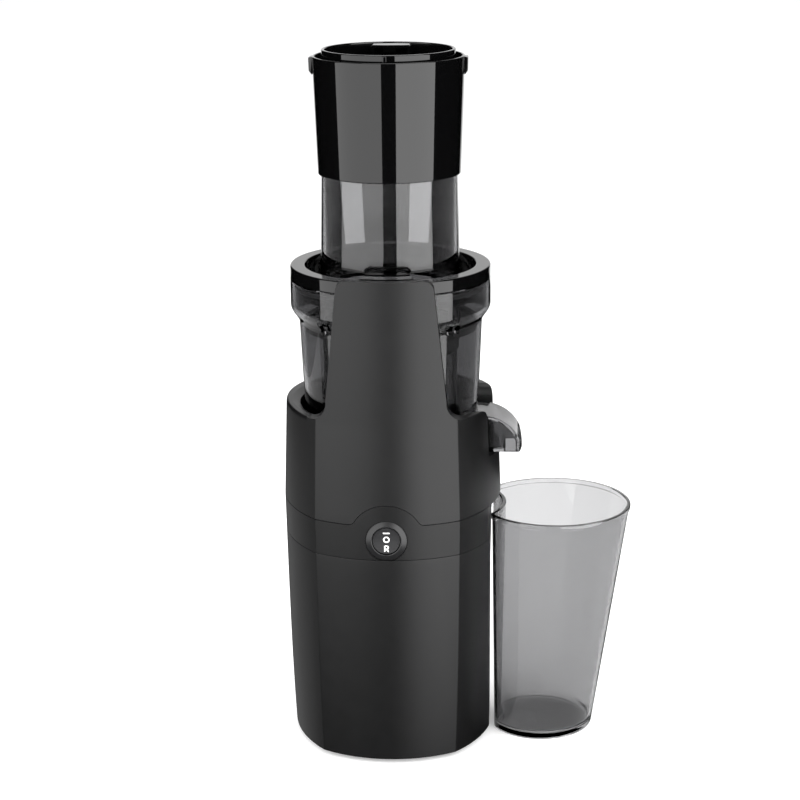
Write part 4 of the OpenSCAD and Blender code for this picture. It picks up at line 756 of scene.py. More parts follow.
def copies_round_axis(piece, material, columns, rows=1, rise=0.0, first=0.0):
    """Geometry Nodes: copies of a piece turned about the Z axis, in rows that climb it."""
    tree = bpy.data.node_groups.new(piece.name + "_copies", "GeometryNodeTree")
    values = {
        "Columns": ("NodeSocketInt", columns),
        "Rows": ("NodeSocketInt", rows),
        "Turn": ("NodeSocketFloat", 2 * pi / columns),
        "Rise": ("NodeSocketFloat", rise * MM),
        "First": ("NodeSocketFloat", first),
    }
    tree.interface.new_socket("Geometry", in_out="INPUT", socket_type="NodeSocketGeometry")
    for label, (kind, _) in values.items():
        tree.interface.new_socket(label, in_out="INPUT", socket_type=kind)
    tree.interface.new_socket("Geometry", in_out="OUTPUT", socket_type="NodeSocketGeometry")
    start, end = tree.nodes.new("NodeGroupInput"), tree.nodes.new("NodeGroupOutput")

    def step(operation, a, b):
        node = tree.nodes.new("ShaderNodeMath")
        node.operation = operation
        for socket, value in zip(node.inputs, (a, b)):
            if isinstance(value, (int, float)):
                socket.default_value = value
            else:
                tree.links.new(value, socket)
        return node.outputs["Value"]

    index = tree.nodes.new("GeometryNodeInputIndex").outputs["Index"]
    row = step("FLOOR", step("DIVIDE", index, start.outputs["Columns"]), 0)
    column = step("SUBTRACT", index, step("MULTIPLY", row, start.outputs["Columns"]))
    angle = step("ADD", step("MULTIPLY", column, start.outputs["Turn"]), start.outputs["First"])
    height = step("MULTIPLY", row, start.outputs["Rise"])
    points = tree.nodes.new("GeometryNodeMeshLine")
    points.inputs["Offset"].default_value = (0, 0, 0)
    tree.links.new(step("MULTIPLY", start.outputs["Columns"], start.outputs["Rows"]), points.inputs["Count"])
    lifted, place, spin = (
        tree.nodes.new(kind)
        for kind in ("GeometryNodeSetPosition", "ShaderNodeCombineXYZ", "ShaderNodeCombineXYZ")
    )
    tree.links.new(height, place.inputs["Z"])
    tree.links.new(angle, spin.inputs["Z"])
    tree.links.new(points.outputs["Mesh"], lifted.inputs["Geometry"])
    tree.links.new(place.outputs["Vector"], lifted.inputs["Offset"])
    copies, real, paint = (
        tree.nodes.new(kind)
        for kind in (
            "GeometryNodeInstanceOnPoints", "GeometryNodeRealizeInstances", "GeometryNodeSetMaterial"
        )
    )
    paint.inputs["Material"].default_value = material
    tree.links.new(lifted.outputs["Geometry"], copies.inputs["Points"])
    tree.links.new(start.outputs["Geometry"], copies.inputs["Instance"])
    tree.links.new(spin.outputs["Vector"], copies.inputs["Rotation"])
    tree.links.new(copies.outputs["Instances"], real.inputs["Geometry"])
    tree.links.new(real.outputs["Geometry"], paint.inputs["Geometry"])
    tree.links.new(paint.outputs["Geometry"], end.inputs["Geometry"])
    modifier = piece.modifiers.new("copies", "NODES")
    modifier.node_group = tree
    sockets = {item.name: item.identifier for item in tree.interface.items_tree if item.in_out == "INPUT"}
    for label, (_, value) in values.items():
        modifier[sockets[label]] = value
    return settle(piece)


def pan_screw(name, radius, head, z, length, ring_r):
    """A pan-head screw with a cross recess below and a pointed thread of stacked ridges."""
    profile = [(0, z + length), (radius * 0.4, z + length - 0.8)]
    ridge = z + length - 1.2
    while ridge > z + HEAD_H + 1.2:
        profile += [(radius, ridge), (radius * 0.78, ridge - 0.35)]
        ridge -= 0.7
    profile += [(radius * 0.8, z + HEAD_H), (head * 0.97, z + HEAD_H)]
    for a in (0, 25, 50, 75):
        profile.append((head * cos(radians(a)), z + HEAD_H * 0.55 * (1 - sin(radians(a)))))
    profile.append((0, z))
    body = turned(name, profile, 24)
    cross = [
        block("arm", (-0.38, -head * 0.55, z - 1), (0.38, head * 0.55, z + 1.1)),
        block("arm", (-head * 0.55, -0.38, z - 1), (head * 0.55, 0.38, z + 1.1)),
    ]
    carved(body, cuts=cross)
    body.data.transform(Matrix.Translation((ring_r * MM, 0, 0)))
    return shaded(body, 35)


def screw_set(name, radius, head, z, length, ring_r, cad_node):
    screws = copies_round_axis(pan_screw(name, radius, head, z, length, ring_r), zinc_steel, 4, first=pi / 4)
    return finish_piece(screws, zinc_steel, "root", "zinc_steel", cad_node)


screw_set("deck_screw_set", SCREW_R, HEAD_R, DECK_Z - DECK_T - HEAD_H - 0.2, 16, BOSS_RING_R, "deck_screws")
dress(moulded_black, "bowl_deck")
dress(seal_rubber, "shaft_seal")

# Gearbox: a cast housing hung from the deck's legs, with two steps of plastic gears that turn
# the steel drive shaft at a sixteenth of the motor's speed.
GEARBOX_TOP_Z, GEARBOX_Z, BOLT_RING_R, BOLT_R, BRACKET_Z = 150.0, 108.0, 41.0, 2.0, 32.0
cast_alloy = moulded("cast_alloy", (0.36, 0.37, 0.38), 0.5, 650, 0.03, 0.08, Metallic=1.0)
gear_brass = moulded("gear_brass", (0.66, 0.47, 0.18), 0.32, 900, 0.006, 0.06, Metallic=1.0)
screw_set(
    "gearbox_screw_set",
    SCREW_R,
    HEAD_R,
    GEARBOX_TOP_Z - 6 - HEAD_H - 0.1,
    22,
    BOLT_RING_R,
    "gearbox_screws",
)
dress(cast_alloy, "gearbox_housing", "motor_plate", "motor_bracket")
dress(nylon_white, "compound_gear", "output_gear")
dress(gear_brass, "motor_pinion")
dress(zinc_steel, "gear_axle", "drive_shaft", "shaft_bearings", "motor_bearings")


# Motor: a laminated stator with twelve copper coils, bolted between the gearbox plate and a
# cast bracket, a rotor on two ball bearings and a fan that draws air up through the base.
STATOR_Z, STATOR_TOP_Z, ROTOR_R = 48.0, 92.0, 27.0
lamination_steel = moulded("lamination_steel", (0.30, 0.30, 0.31), 0.45, 300, 0.05, 0.08, Metallic=1.0)
copper_wire = moulded("copper_wire", (0.62, 0.24, 0.09), 0.3, 800, 0.01, 0.08, Metallic=1.0)


def wire_bundle(name, inner, outer, low, high, wire):
    """A ring of wound wire: its cross-section is a rectangle edged with half rounds."""
    outline = []
    edges = (
        ((outer, low), (outer, high)),
        ((outer, high), (inner, high)),
        ((inner, high), (inner, low)),
        ((inner, low), (outer, low)),
    )
    for (r0, z0), (r1, z1) in edges:
        length = hypot(r1 - r0, z1 - z0)
        count = round(length / wire)
        ur, uz = (r1 - r0) / length, (z1 - z0) / length
        for i in range(count):
            for a in (180, 140, 90, 40):
                along, out = (i + 0.5 + cos(radians(a)) / 2) * length / count, sin(radians(a)) * wire / 2
                outline.append(
                    (r0 + ur * along + uz * (out - wire / 2), z0 + uz * along - ur * (out - wire / 2))
                )
    return turned(name, outline, 96)


END_TURN_H, END_TURN_IN, END_TURN_OUT = 8.0, ROTOR_R + 2, ROTOR_R + 6.8
windings = turned(
    "winding_slots",
    [(0, STATOR_Z - 1), (2.3, STATOR_Z - 1), (2.3, STATOR_TOP_Z + 1), (0, STATOR_TOP_Z + 1)],
    20,
)
windings.data.transform(Matrix.Translation(((ROTOR_R + 4.6) * MM, 0, 0)))
windings = copies_round_axis(windings, copper_wire, 12)
finish_piece(shaded(windings), copper_wire, "root", "enamelled_copper", "stator_windings")
for name, low in (("end_turns_low", STATOR_Z - END_TURN_H - 0.1), ("end_turns_high", STATOR_TOP_Z + 0.1)):
    bundle = wire_bundle(name, END_TURN_IN, END_TURN_OUT, low, low + END_TURN_H, 0.8)
    finish_piece(shaded(bundle, 60), copper_wire, "root", "enamelled_copper", "stator_windings")
screw_set(
    "motor_bolt_set",
    BOLT_R,
    HEAD_R + 0.5,
    BRACKET_Z - HEAD_H - 0.1,
    GEARBOX_Z + 10 - BRACKET_Z + HEAD_H,
    BOLT_RING_R,
    "motor_bolts",
)
dress(lamination_steel, "stator_core", "rotor")
dress(nylon_white, "cooling_fan")


# Control board: glass-fibre laminate with its relay, capacitors and plugs, behind the switch.
board_green = moulded("board_green", (0.016, 0.085, 0.035), 0.35, 1500, 0.006)
dress(board_green, "control_board")


# Base: a screwed-in plate with air slots, a soft ring foot and a short gland for the mains lead.
FOOT_R, FOOT_W, FOOT_H, BASE_BOSS_RING_R, BASE_Z = 51.0, 8.0, 4.5, 56.0, 3.2
GLAND_OUT_Y, GLAND_BORE_R = 65.963, 3.6
foot_rubber = moulded("foot_rubber", (0.018, 0.018, 0.018), 0.78, 1100, 0.03)


def groove(r, depth=0.7, half=0.6):
    return [(r + half, 0), (r + half * 0.6, depth), (r - half * 0.6, depth), (r - half, 0)]


foot = turned(
    "foot_ring_rubber",
    [(FOOT_R, FOOT_H), (FOOT_R, 0.8), (FOOT_R - 0.25, 0.25), (FOOT_R - 0.8, 0)]
    + groove(FOOT_R - 2.2) + groove(FOOT_R - 4.0) + groove(FOOT_R - 5.8)
    + [
        (FOOT_R - FOOT_W + 0.8, 0),
        (FOOT_R - FOOT_W + 0.25, 0.25),
        (FOOT_R - FOOT_W, 0.8),
        (FOOT_R - FOOT_W, FOOT_H),
    ],
)
finish_piece(shaded(foot, 30), foot_rubber, "root", "foot_rubber", "foot_ring")
screw_set("base_screw_set", SCREW_R, HEAD_R, BASE_Z + 0.2, 16, BASE_BOSS_RING_R, "base_screws")
dress(moulded_black, "base_plate")

sleeve = [
    (GLAND_BORE_R, 8.4),
    (GLAND_BORE_R, -6.2),
    (GLAND_BORE_R + 0.4, -6.6),
    (GLAND_R, -6.6),
    (GLAND_R, -4.0),
    (5.5, -4.0),
    (5.5, 0.3),
]
sleeve += [(GLAND_R - 0.4, 0.3), (GLAND_R, 0.7), (GLAND_R, 2.4), (GLAND_R - 0.5, 2.9)]
for rib in range(3):
    along, r = 3.3 + 1.8 * rib, GLAND_R - 0.8 - 0.42 * rib
    sleeve += [
        (r - 0.9, along - 0.3), (r - 0.9, along), (r, along + 0.3), (r, along + 0.9), (r - 0.9, along + 1.2)
    ]
sleeve += [(GLAND_R - 2.2, 8.8), (GLAND_BORE_R + 0.4, 8.8)]
to_rear = Matrix.Translation((0, GLAND_OUT_Y * MM, GLAND_Z * MM)) @ Matrix.Rotation(-pi / 2, 4, "X")
gland = turned("mains_gland", sleeve, 64, to_rear)
finish_piece(shaded(gland, 30), moulded_black, "root", "moulded_black", "cable_gland")


# Juice bowl: one clear smoke-grey moulding with a hub for the auger, a wide upper band that
# takes the lid, a hooded juice spout on the right and a hooded pulp outlet at the back.
BOWL_Z, BOWL_FLOOR_Z, BOWL_IN_Z, BOWL_TOP_Z, SHOULDER_Z, BAND_IN_Z = 184.3, 187.0, 189.5, 300.0, 272.0, 283.4
BOWL_FLOOR_R, BOWL_NECK_R, BOWL_RIM_R, BOWL_WALL = 53.4, 56.7, 62.0, 2.4
HUB_R, HUB_WALL, HUB_TOP_Z = 12.4, 3.0, 199.0
OUTLET_Z, OUTLET_H, OUTLET_WALL, OUTLET_IN_Z = 191.0, 23.5, 2.2, 193.2
SPOUT_W, SPOUT_REACH, SPOUT_ROUND, SPOUT_MOUTH, SPOUT_SHIFT = 33.0, 82.3, 26.0, 9.0, -0.5
PULP_W, PULP_REACH, PULP_ROUND, PULP_MOUTH, PULP_PORT_H = 30.0, 90.0, 28.0, 15.0, 13.0
STRAINER_RIB_R = 42.4
LOCK_RIB_Z, LOCK_RIB_TOP_Z, LOCK_RIB_ANGLES = 273, 289.5, (-40.6, 40.3, 46.0, 139.4, -139.7)


def clear_plastic(name, colour, roughness, relief, scale=45):
    """Tinted clear plastic, with a faint moulding waviness that bends its reflections."""
    material, shader, tree = shader_material(name, colour, roughness, Transmission_Weight=1.0, IOR=1.5)
    thin, thick = [min(1.0, c * 1.03) for c in colour], [c * 0.96 for c in colour]
    add_grain(tree, shader, scale, relief, (thick, thin), (roughness, roughness + 0.01), detail=1.0)
    return material


smoked_dark = clear_plastic("smoked_dark", (0.20, 0.20, 0.205), 0.015, 0.004)
smoked_clear = clear_plastic("smoked_clear", (0.34, 0.34, 0.345), 0.015, 0.004)


def swelling(low_r, high_r, low_z, high_z, steps=14):
    """The S-curve between the bowl's wall and its wider band."""
    return [
        (low_r + (high_r - low_r) * (1 - cos(pi * i / steps)) / 2, low_z + (high_z - low_z) * i / steps)
        for i in range(steps + 1)
    ]


def bowl_profile():
    outer = [(BOWL_FLOOR_R - 4.9, BOWL_Z)]
    outer += [
        (BOWL_FLOOR_R - 3.4 + 3.2 * sin(radians(a)), BOWL_Z + 3.2 - 3.2 * cos(radians(a)))
        for a in range(0, 91, 15)
    ]
    outer += swelling(BOWL_NECK_R, BOWL_RIM_R, SHOULDER_Z, BAND_IN_Z)
    rim = [(BOWL_RIM_R, BOWL_TOP_Z - 0.4), (BOWL_RIM_R - 0.4, BOWL_TOP_Z)]
    rim += [(BOWL_RIM_R - BOWL_WALL + 0.4, BOWL_TOP_Z), (BOWL_RIM_R - BOWL_WALL, BOWL_TOP_Z - 0.4)]
    inner = swelling(BOWL_NECK_R - BOWL_WALL, BOWL_RIM_R - BOWL_WALL, SHOULDER_Z + 0.6, BAND_IN_Z + 0.6)[::-1]
    low_r = BOWL_FLOOR_R - BOWL_WALL
    inner += [
        (low_r - 2.5 + 2.5 * sin(radians(a)), BOWL_IN_Z + 2.5 - 2.5 * cos(radians(a)))
        for a in range(90, -1, -15)
    ]
    hub_out = HUB_R + HUB_WALL
    hub = [
        (hub_out, BOWL_IN_Z),
        (hub_out, HUB_TOP_Z - 0.4),
        (hub_out - 0.4, HUB_TOP_Z),
        (HUB_R + 0.4, HUB_TOP_Z),
        (HUB_R, HUB_TOP_Z - 0.4),
    ]
    return outer + rim + inner + hub + [(HUB_R, BOWL_FLOOR_Z), (BOWL_FLOOR_R - 4.9, BOWL_FLOOR_Z)]


def hooded_outline(reach, turn_in, inset, root):
    """Side view of an outlet: a level floor, and a roof that rounds down to the tip."""
    roof = [
        (
            reach - turn_in + (turn_in - inset) * cos(radians(a)),
            OUTLET_Z + (OUTLET_H - inset) * sin(radians(a)),
        )
        for a in range(90, -1, -5)
    ]
    return [(root, OUTLET_Z), (root, OUTLET_Z + OUTLET_H - inset)] + roof


def outlet_hood(width, reach, turn_in):
    hood = plate("hood", hooded_outline(reach, turn_in, 0, BOWL_FLOOR_R - 20), -width / 2, width / 2, "Y")
    carved(hood, keep=[round_bar("tip", reach, OUTLET_Z - 5, OUTLET_Z + 40, steps=192)])
    rounded(hood, 1.1, 40, 3)
    room = round_bar("room", BOWL_FLOOR_R - BOWL_WALL + 0.3, OUTLET_Z - 5, OUTLET_Z + 40, steps=192)
    return carved(hood, cuts=[room])


def outlet_room(width, reach, turn_in, mouth):
    """The passage in a hood, and its mouth, which is open downwards at the tip."""
    inner = width / 2 - OUTLET_WALL
    passage = plate(
        "passage", hooded_outline(reach, turn_in, OUTLET_WALL, BOWL_FLOOR_R - 1), -inner, inner, "Y"
    )
    way = block("way", (BOWL_FLOOR_R - 30, -60, OUTLET_IN_Z), (140, 60, 260))
    opening = block("opening", (reach - OUTLET_WALL - mouth, -60, OUTLET_Z - 4), (140, 60, OUTLET_IN_Z + 0.1))
    carved(
        passage,
        keep=[carved(way, joins=[opening]), round_bar("tip", reach - OUTLET_WALL, 150, 260, steps=192)],
    )
    return rounded(passage, 0.8, 60)


def placed(piece, turn=0.0, shift=0.0):
    piece.data.transform(Matrix.Rotation(turn, 4, "Z") @ Matrix.Translation((0, shift * MM, 0)))
    return piece


def lock_rib(angle):
    """One of the upright ribs inside the band, which the turned lid slides behind."""
    in_r = BOWL_RIM_R - BOWL_WALL
    rib = block("rib", (-0.9, -in_r - 0.3, LOCK_RIB_Z), (0.9, 2.2 - in_r, LOCK_RIB_TOP_Z))
    rib.data.transform(Matrix.Rotation(radians(angle), 4, "Z"))
    return rib


bowl = turned("juice_bowl_shell", bowl_profile(), 192)
pulp_frame = block(
    "pulp_frame",
    (-PULP_W / 2, STRAINER_RIB_R + 0.3, BOWL_IN_Z - 0.3),
    (PULP_W / 2, BOWL_FLOOR_R - BOWL_WALL + 0.8, OUTLET_IN_Z + PULP_PORT_H + OUTLET_WALL),
)
carved(pulp_frame, cuts=[round_bar("basket", STRAINER_RIB_R + 0.3, 180, 260)])
carved(
    bowl,
    joins=[
        placed(outlet_hood(SPOUT_W, SPOUT_REACH, SPOUT_ROUND), shift=SPOUT_SHIFT),
        placed(outlet_hood(PULP_W, PULP_REACH, PULP_ROUND), turn=pi / 2),
        pulp_frame,
        *[lock_rib(angle) for angle in LOCK_RIB_ANGLES],
    ],
    cuts=[
        placed(outlet_room(SPOUT_W, SPOUT_REACH, SPOUT_ROUND, SPOUT_MOUTH), shift=SPOUT_SHIFT),
        block(
            "spout_port",
            (BOWL_FLOOR_R - 8, SPOUT_SHIFT - 12, OUTLET_IN_Z),
            (BOWL_FLOOR_R + 4, SPOUT_SHIFT + 12, OUTLET_IN_Z + 9),
        ),
        placed(outlet_room(PULP_W, PULP_REACH, PULP_ROUND, PULP_MOUTH), turn=pi / 2),
        block(
            "pulp_port",
            (-PULP_W / 2 + OUTLET_WALL, STRAINER_RIB_R - 3, OUTLET_IN_Z),
            (PULP_W / 2 - OUTLET_WALL, BOWL_FLOOR_R + 3, OUTLET_IN_Z + PULP_PORT_H),
        ),
    ],
)
finish_piece(shaded(bowl, 30), smoked_dark, "bowl", "smoked_clear", "juice_bowl")


# Seals: grey silicone, a lip seal round the auger's spigot and a pressure flap in the pulp outlet.
silicone_grey = moulded("silicone_grey", (0.22, 0.22, 0.22), 0.55, 1300, 0.008)
dress(silicone_grey, "bowl_seal", "pulp_valve")


# Strainer: a ribbed black basket moulded round a perforated steel sheet, hung by its flange on the
# bowl's shoulder. Geometry Nodes set the sheet's cells, each with its hole, in rows round the axis.
SHEET_R, SHEET_T, SHEET_Z, SHEET_TOP_Z = 40.2, 0.6, 193.8, 268.7
HOLE_COLUMNS, HOLE_ROWS, HOLE_R = 96, 28, 0.85
strainer_black = moulded("strainer_black", (0.011, 0.011, 0.0115), 0.42, 1000, 0.012)
strainer_steel = moulded("strainer_steel", (0.60, 0.60, 0.59), 0.26, 500, 0.004, 0.05, Metallic=1.0)
dress(strainer_black, "strainer_frame")


def sheet_cell(pitch_z):
    """One cell of the sheet: a curved tile with an eight-cornered hole."""
    half_turn, half_z = pi / HOLE_COLUMNS, pitch_z / 2
    middle_r = SHEET_R + SHEET_T / 2
    hole = [(HOLE_R * cos(pi * (i + 0.5) / 4) / middle_r, HOLE_R * sin(pi * (i + 0.5) / 4)) for i in range(8)]
    edge = [
        (half_turn, half_z * 0.4),
        (half_turn * 0.4, half_z),
        (-half_turn * 0.4, half_z),
        (-half_turn, half_z * 0.4),
    ]
    edge += [(-a, -z) for a, z in edge]
    corners = [(half_turn, half_z), (-half_turn, half_z), (-half_turn, -half_z), (half_turn, -half_z)]
    points = [
        (r * cos(a), r * sin(a), SHEET_Z + half_z + z)
        for r in (SHEET_R + SHEET_T, SHEET_R)
        for a, z in hole + edge + corners
    ]
    faces = []
    for i in range(8):
        j = (i + 1) % 8
        faces += [(i, j, 8 + j, 8 + i), (20 + j, 20 + i, 28 + i, 28 + j), (i, 20 + i, 20 + j, j)]
    for i in range(4):
        faces += [(8 + 2 * i, 8 + 2 * i + 1, 16 + i), (28 + 2 * i + 1, 28 + 2 * i, 36 + i)]
    mesh = bpy.data.meshes.new("sheet_cell")
    mesh.from_pydata([(x * MM, y * MM, z * MM) for x, y, z in points], [], faces)
    piece = bpy.data.objects.new("strainer_sheet", mesh)
    scene.collection.objects.link(piece)
    return piece


def open_port(piece, half_w, low, high):
    """Takes out the faces of a ring that lie in the pulp outlet's port."""
    build = bmesh.new()
    build.from_mesh(piece.data)
    gone = []
    for face in build.faces:
        middle = face.calc_center_median()
        if abs(middle.x) < half_w * MM and middle.y > 0 and low * MM < middle.z < high * MM:
            gone.append(face)
    bmesh.ops.delete(build, geom=gone, context="FACES")
    build.to_mesh(piece.data)
    build.free()
    return piece


pitch = (SHEET_TOP_Z - SHEET_Z) / HOLE_ROWS
sheet = copies_round_axis(sheet_cell(pitch), strainer_steel, HOLE_COLUMNS, HOLE_ROWS, rise=pitch)
open_port(sheet, PULP_W / 2 - OUTLET_WALL, OUTLET_IN_Z, OUTLET_IN_Z + PULP_PORT_H)
finish_piece(shaded(sheet, 40), strainer_steel, "bowl", "strainer_steel", "strainer_mesh")


# Auger: a moulded screw with two flights that press the pulp down, on a cone that widens
# downwards. It stands on the drive shaft's hexagon and ends in a rounded cap.
AUGER_Z, AUGER_H, AUGER_R, AUGER_ROOT_R, AUGER_TOP_R, CAP_H = 194.2, 68.0, 39.4, 33.0, 18.0, 20.0
SPIGOT_R, SPIGOT_Z, FLIGHT_T, FLIGHT_TURNS, HEX_R = 10.5, 188.0, 4.6, 1.6, 7.2169
auger_black = moulded("auger_black", (0.014, 0.014, 0.0145), 0.33, 700, 0.01)


def auger_flight(first, steps=120):
    """One flight: a tapered blade whose root stays inside the cone as it winds up."""
    rings = []
    for i in range(steps + 1):
        share = i / steps
        z = AUGER_Z + 0.8 + (AUGER_H - 1.6) * share
        turn = first + 2 * pi * FLIGHT_TURNS * share
        root = AUGER_ROOT_R + (AUGER_TOP_R - AUGER_ROOT_R) * share - 3
        blade = [
            (root, -FLIGHT_T),
            (AUGER_R - 1.6, -FLIGHT_T * 0.5),
            (AUGER_R - 0.5, -FLIGHT_T * 0.38),
            (AUGER_R - 0.1, -FLIGHT_T * 0.2),
        ]
        blade += [(r, -t) for r, t in blade[::-1]]
        rings.append([(r * cos(turn) - t * sin(turn), r * sin(turn) + t * cos(turn), z) for r, t in blade])
    return stacked("flight", rings)


cone = [
    (0, SPIGOT_Z),
    (SPIGOT_R - 0.4, SPIGOT_Z),
    (SPIGOT_R, SPIGOT_Z + 0.4),
    (SPIGOT_R, HUB_TOP_Z + 0.6),
    (HUB_R + HUB_WALL + 0.8, HUB_TOP_Z + 0.6),
]
cone += [
    (HUB_R + HUB_WALL + 0.8, AUGER_Z),
    (AUGER_ROOT_R - 0.8, AUGER_Z),
    (AUGER_ROOT_R, AUGER_Z + 0.8),
    (AUGER_ROOT_R, AUGER_Z + 5),
    (AUGER_TOP_R, AUGER_Z + AUGER_H),
]
cone += [
    (AUGER_TOP_R * cos(radians(a)) ** 0.8, AUGER_Z + AUGER_H + CAP_H * sin(radians(a)))
    for a in range(10, 90, 10)
]
cone += [(0, AUGER_Z + AUGER_H + CAP_H)]
auger = carved(turned("auger_screw", cone, 96), joins=[auger_flight(0.0), auger_flight(pi)])
socket = round_bar("hexagon", HEX_R, SPIGOT_Z - 1, DECK_Z + 31, steps=6)
finish_piece(shaded(carved(auger, cuts=[socket]), 35), auger_black, "auger", "auger_black", "auger")


# Lid: a glossy black ring that closes the bowl, with a moat round the feed tube's foot and a
# key block at the front whose magnet tells the sensor that the lid is on.
LID_LOW_Z, LID_TOP_Z, LID_FLOOR_Z, LID_WALL, LID_IN_R, SKIRT_R = 300.4, 308.0, 293.4, 2.2, 52.9, 59.1
CHUTE_BORE_R, KEY_IN_R, KEY_W, KEY_MID_R = 40.0, 45.3, 40.0, 49.1
gloss_black = moulded("gloss_black", (0.0014, 0.0014, 0.0015), 0.04, 40, 0.0015, 0.01)


def corner(centre, radius, start, end, steps=6):
    """A rounded corner of a profile, angles in degrees."""
    return arc_points(centre, radius, radians(start), radians(end), steps)


lid_profile = [
    (BOWL_RIM_R - 2.2, LID_LOW_Z + 0.3),
    (BOWL_RIM_R - 1.9, LID_LOW_Z),
    (BOWL_RIM_R - 0.3, LID_LOW_Z),
    (BOWL_RIM_R, LID_LOW_Z + 0.3),
]
lid_profile += corner((BOWL_RIM_R - 1.2, LID_TOP_Z - 1.2), 1.2, 0, 90)
lid_profile += corner((LID_IN_R + 0.9, LID_TOP_Z - 0.9), 0.9, 90, 180)
lid_profile += corner((LID_IN_R - 1.5, LID_FLOOR_Z + 1.5), 1.5, 0, -90)
lid_profile += [(CHUTE_BORE_R + 0.4, LID_FLOOR_Z), (CHUTE_BORE_R + 0.4, LID_FLOOR_Z - LID_WALL)]
lid_profile += [
    (SKIRT_R - LID_WALL, LID_FLOOR_Z - LID_WALL),
    (SKIRT_R - LID_WALL, LID_FLOOR_Z - LID_WALL - 1),
    (SKIRT_R - 0.4, LID_FLOOR_Z - LID_WALL - 1),
]
lid_profile += [
    (SKIRT_R, LID_FLOOR_Z - LID_WALL - 0.6),
    (SKIRT_R, LID_TOP_Z - LID_WALL),
    (BOWL_RIM_R - 2.2, LID_TOP_Z - LID_WALL),
]
lid = turned("lid_ring_shell", lid_profile, 192)
key_top = KEY_W / 2 - 4.5
key = plate(
    "key",
    [
        (-KEY_W / 2, LID_FLOOR_Z - 0.5),
        (KEY_W / 2, LID_FLOOR_Z - 0.5),
        (key_top, LID_TOP_Z + 0.8),
        (-key_top, LID_TOP_Z + 0.8),
    ],
    -80,
    -20,
    "Y",
)
key_room = turned(
    "key_room", [(KEY_IN_R, 280), (LID_IN_R + 0.6, 280), (LID_IN_R + 0.6, 320), (KEY_IN_R, 320)], 192
)
carved(key, keep=[key_room])
rounded(key, 0.8, 40, 3)
magnet_hole = round_bar(
    "magnet_hole", 3.05, LID_FLOOR_Z - LID_WALL - 1, LID_FLOOR_Z + 7, centre=(0, -KEY_MID_R), steps=32
)
gasket_groove = turned(
    "gasket_groove",
    [
        (SKIRT_R - 1, LID_FLOOR_Z + 1),
        (SKIRT_R + 1, LID_FLOOR_Z + 1),
        (SKIRT_R + 1, LID_FLOOR_Z + 4),
        (SKIRT_R - 1, LID_FLOOR_Z + 4),
    ],
    192,
)
carved(lid, joins=[key], cuts=[magnet_hole, gasket_groove])
finish_piece(shaded(lid, 30), gloss_black, "lid", "gloss_black", "lid_ring")
dress(silicone_grey, "lid_gasket")
dress(zinc_steel, "lid_magnet")


# Feed tube: a clear smoke-grey tube on the lid's floor, thick at its foot, with a bead at its
# top that the collar snaps over.
CHUTE_Z, CHUTE_TOP_Z, CHUTE_FOOT_R, CHUTE_R, COLLAR_Z, COLLAR_TOP_Z = 293.6, 424.2, 43.1, 41.7, 364.2, 435.2
feed_profile = [
    (CHUTE_BORE_R, CHUTE_Z),
    (CHUTE_FOOT_R + 1.4, CHUTE_Z),
    (CHUTE_FOOT_R + 1.6, CHUTE_Z + 0.2),
    (CHUTE_FOOT_R + 1.6, CHUTE_Z + 2.2),
]
feed_profile += [
    (CHUTE_FOOT_R + 1.6 * (1 - sin(radians(a))), CHUTE_Z + 2.2 + 5 * (1 - cos(radians(a))))
    for a in range(15, 91, 15)
]
feed_profile += [
    (CHUTE_FOOT_R, CHUTE_Z + 11),
    (CHUTE_R, COLLAR_Z - 3),
    (CHUTE_R - 0.2, CHUTE_TOP_Z - 4),
    (CHUTE_BORE_R + 3.1, CHUTE_TOP_Z - 4),
]
feed_profile += [
    (CHUTE_BORE_R + 3.3, CHUTE_TOP_Z - 3.8),
    (CHUTE_BORE_R + 3.3, CHUTE_TOP_Z - 0.3),
    (CHUTE_BORE_R + 3.0, CHUTE_TOP_Z),
    (CHUTE_BORE_R + 0.3, CHUTE_TOP_Z),
    (CHUTE_BORE_R, CHUTE_TOP_Z - 0.3),
]
feed_tube = turned("feed_tube_wall", feed_profile, 192)
finish_piece(shaded(feed_tube, 30), smoked_clear, "lid", "smoked_clear", "feed_tube")


# Collar: a glossy black sleeve that flares towards its rim, snapped over the tube's bead, with
# a small grip tab on each side.
COLLAR_LOW_R, COLLAR_TOP_R, COLLAR_WALL, COLLAR_RISE = 43.7, 46.1, 1.5, 11.0
collar_in_r, collar_lip_r, ledge_z = COLLAR_TOP_R - COLLAR_WALL, CHUTE_R + 0.2, CHUTE_TOP_Z - 4.2
flare = (COLLAR_TOP_R - COLLAR_LOW_R) / (COLLAR_TOP_Z - COLLAR_Z)
collar_profile = [(collar_lip_r, COLLAR_Z)] + corner((COLLAR_LOW_R - 0.6, COLLAR_Z + 0.6), 0.6, -90, 0, 4)
collar_profile += corner((COLLAR_TOP_R - 0.7, COLLAR_TOP_Z - 0.7), 0.7, 0, 90)
collar_profile += corner((collar_in_r + 0.4, COLLAR_TOP_Z - 0.4), 0.4, 90, 180, 4)
collar_profile += [
    (collar_in_r - flare * COLLAR_RISE, ledge_z),
    (collar_lip_r, ledge_z),
    (collar_lip_r, ledge_z - 4),
    (collar_in_r - flare * (COLLAR_RISE + 8), ledge_z - 5),
]
collar_profile += [(COLLAR_LOW_R - COLLAR_WALL + 0.3, COLLAR_Z + 6), (collar_lip_r, COLLAR_Z + 4)]
collar = turned("feed_collar_sleeve", collar_profile, 192)


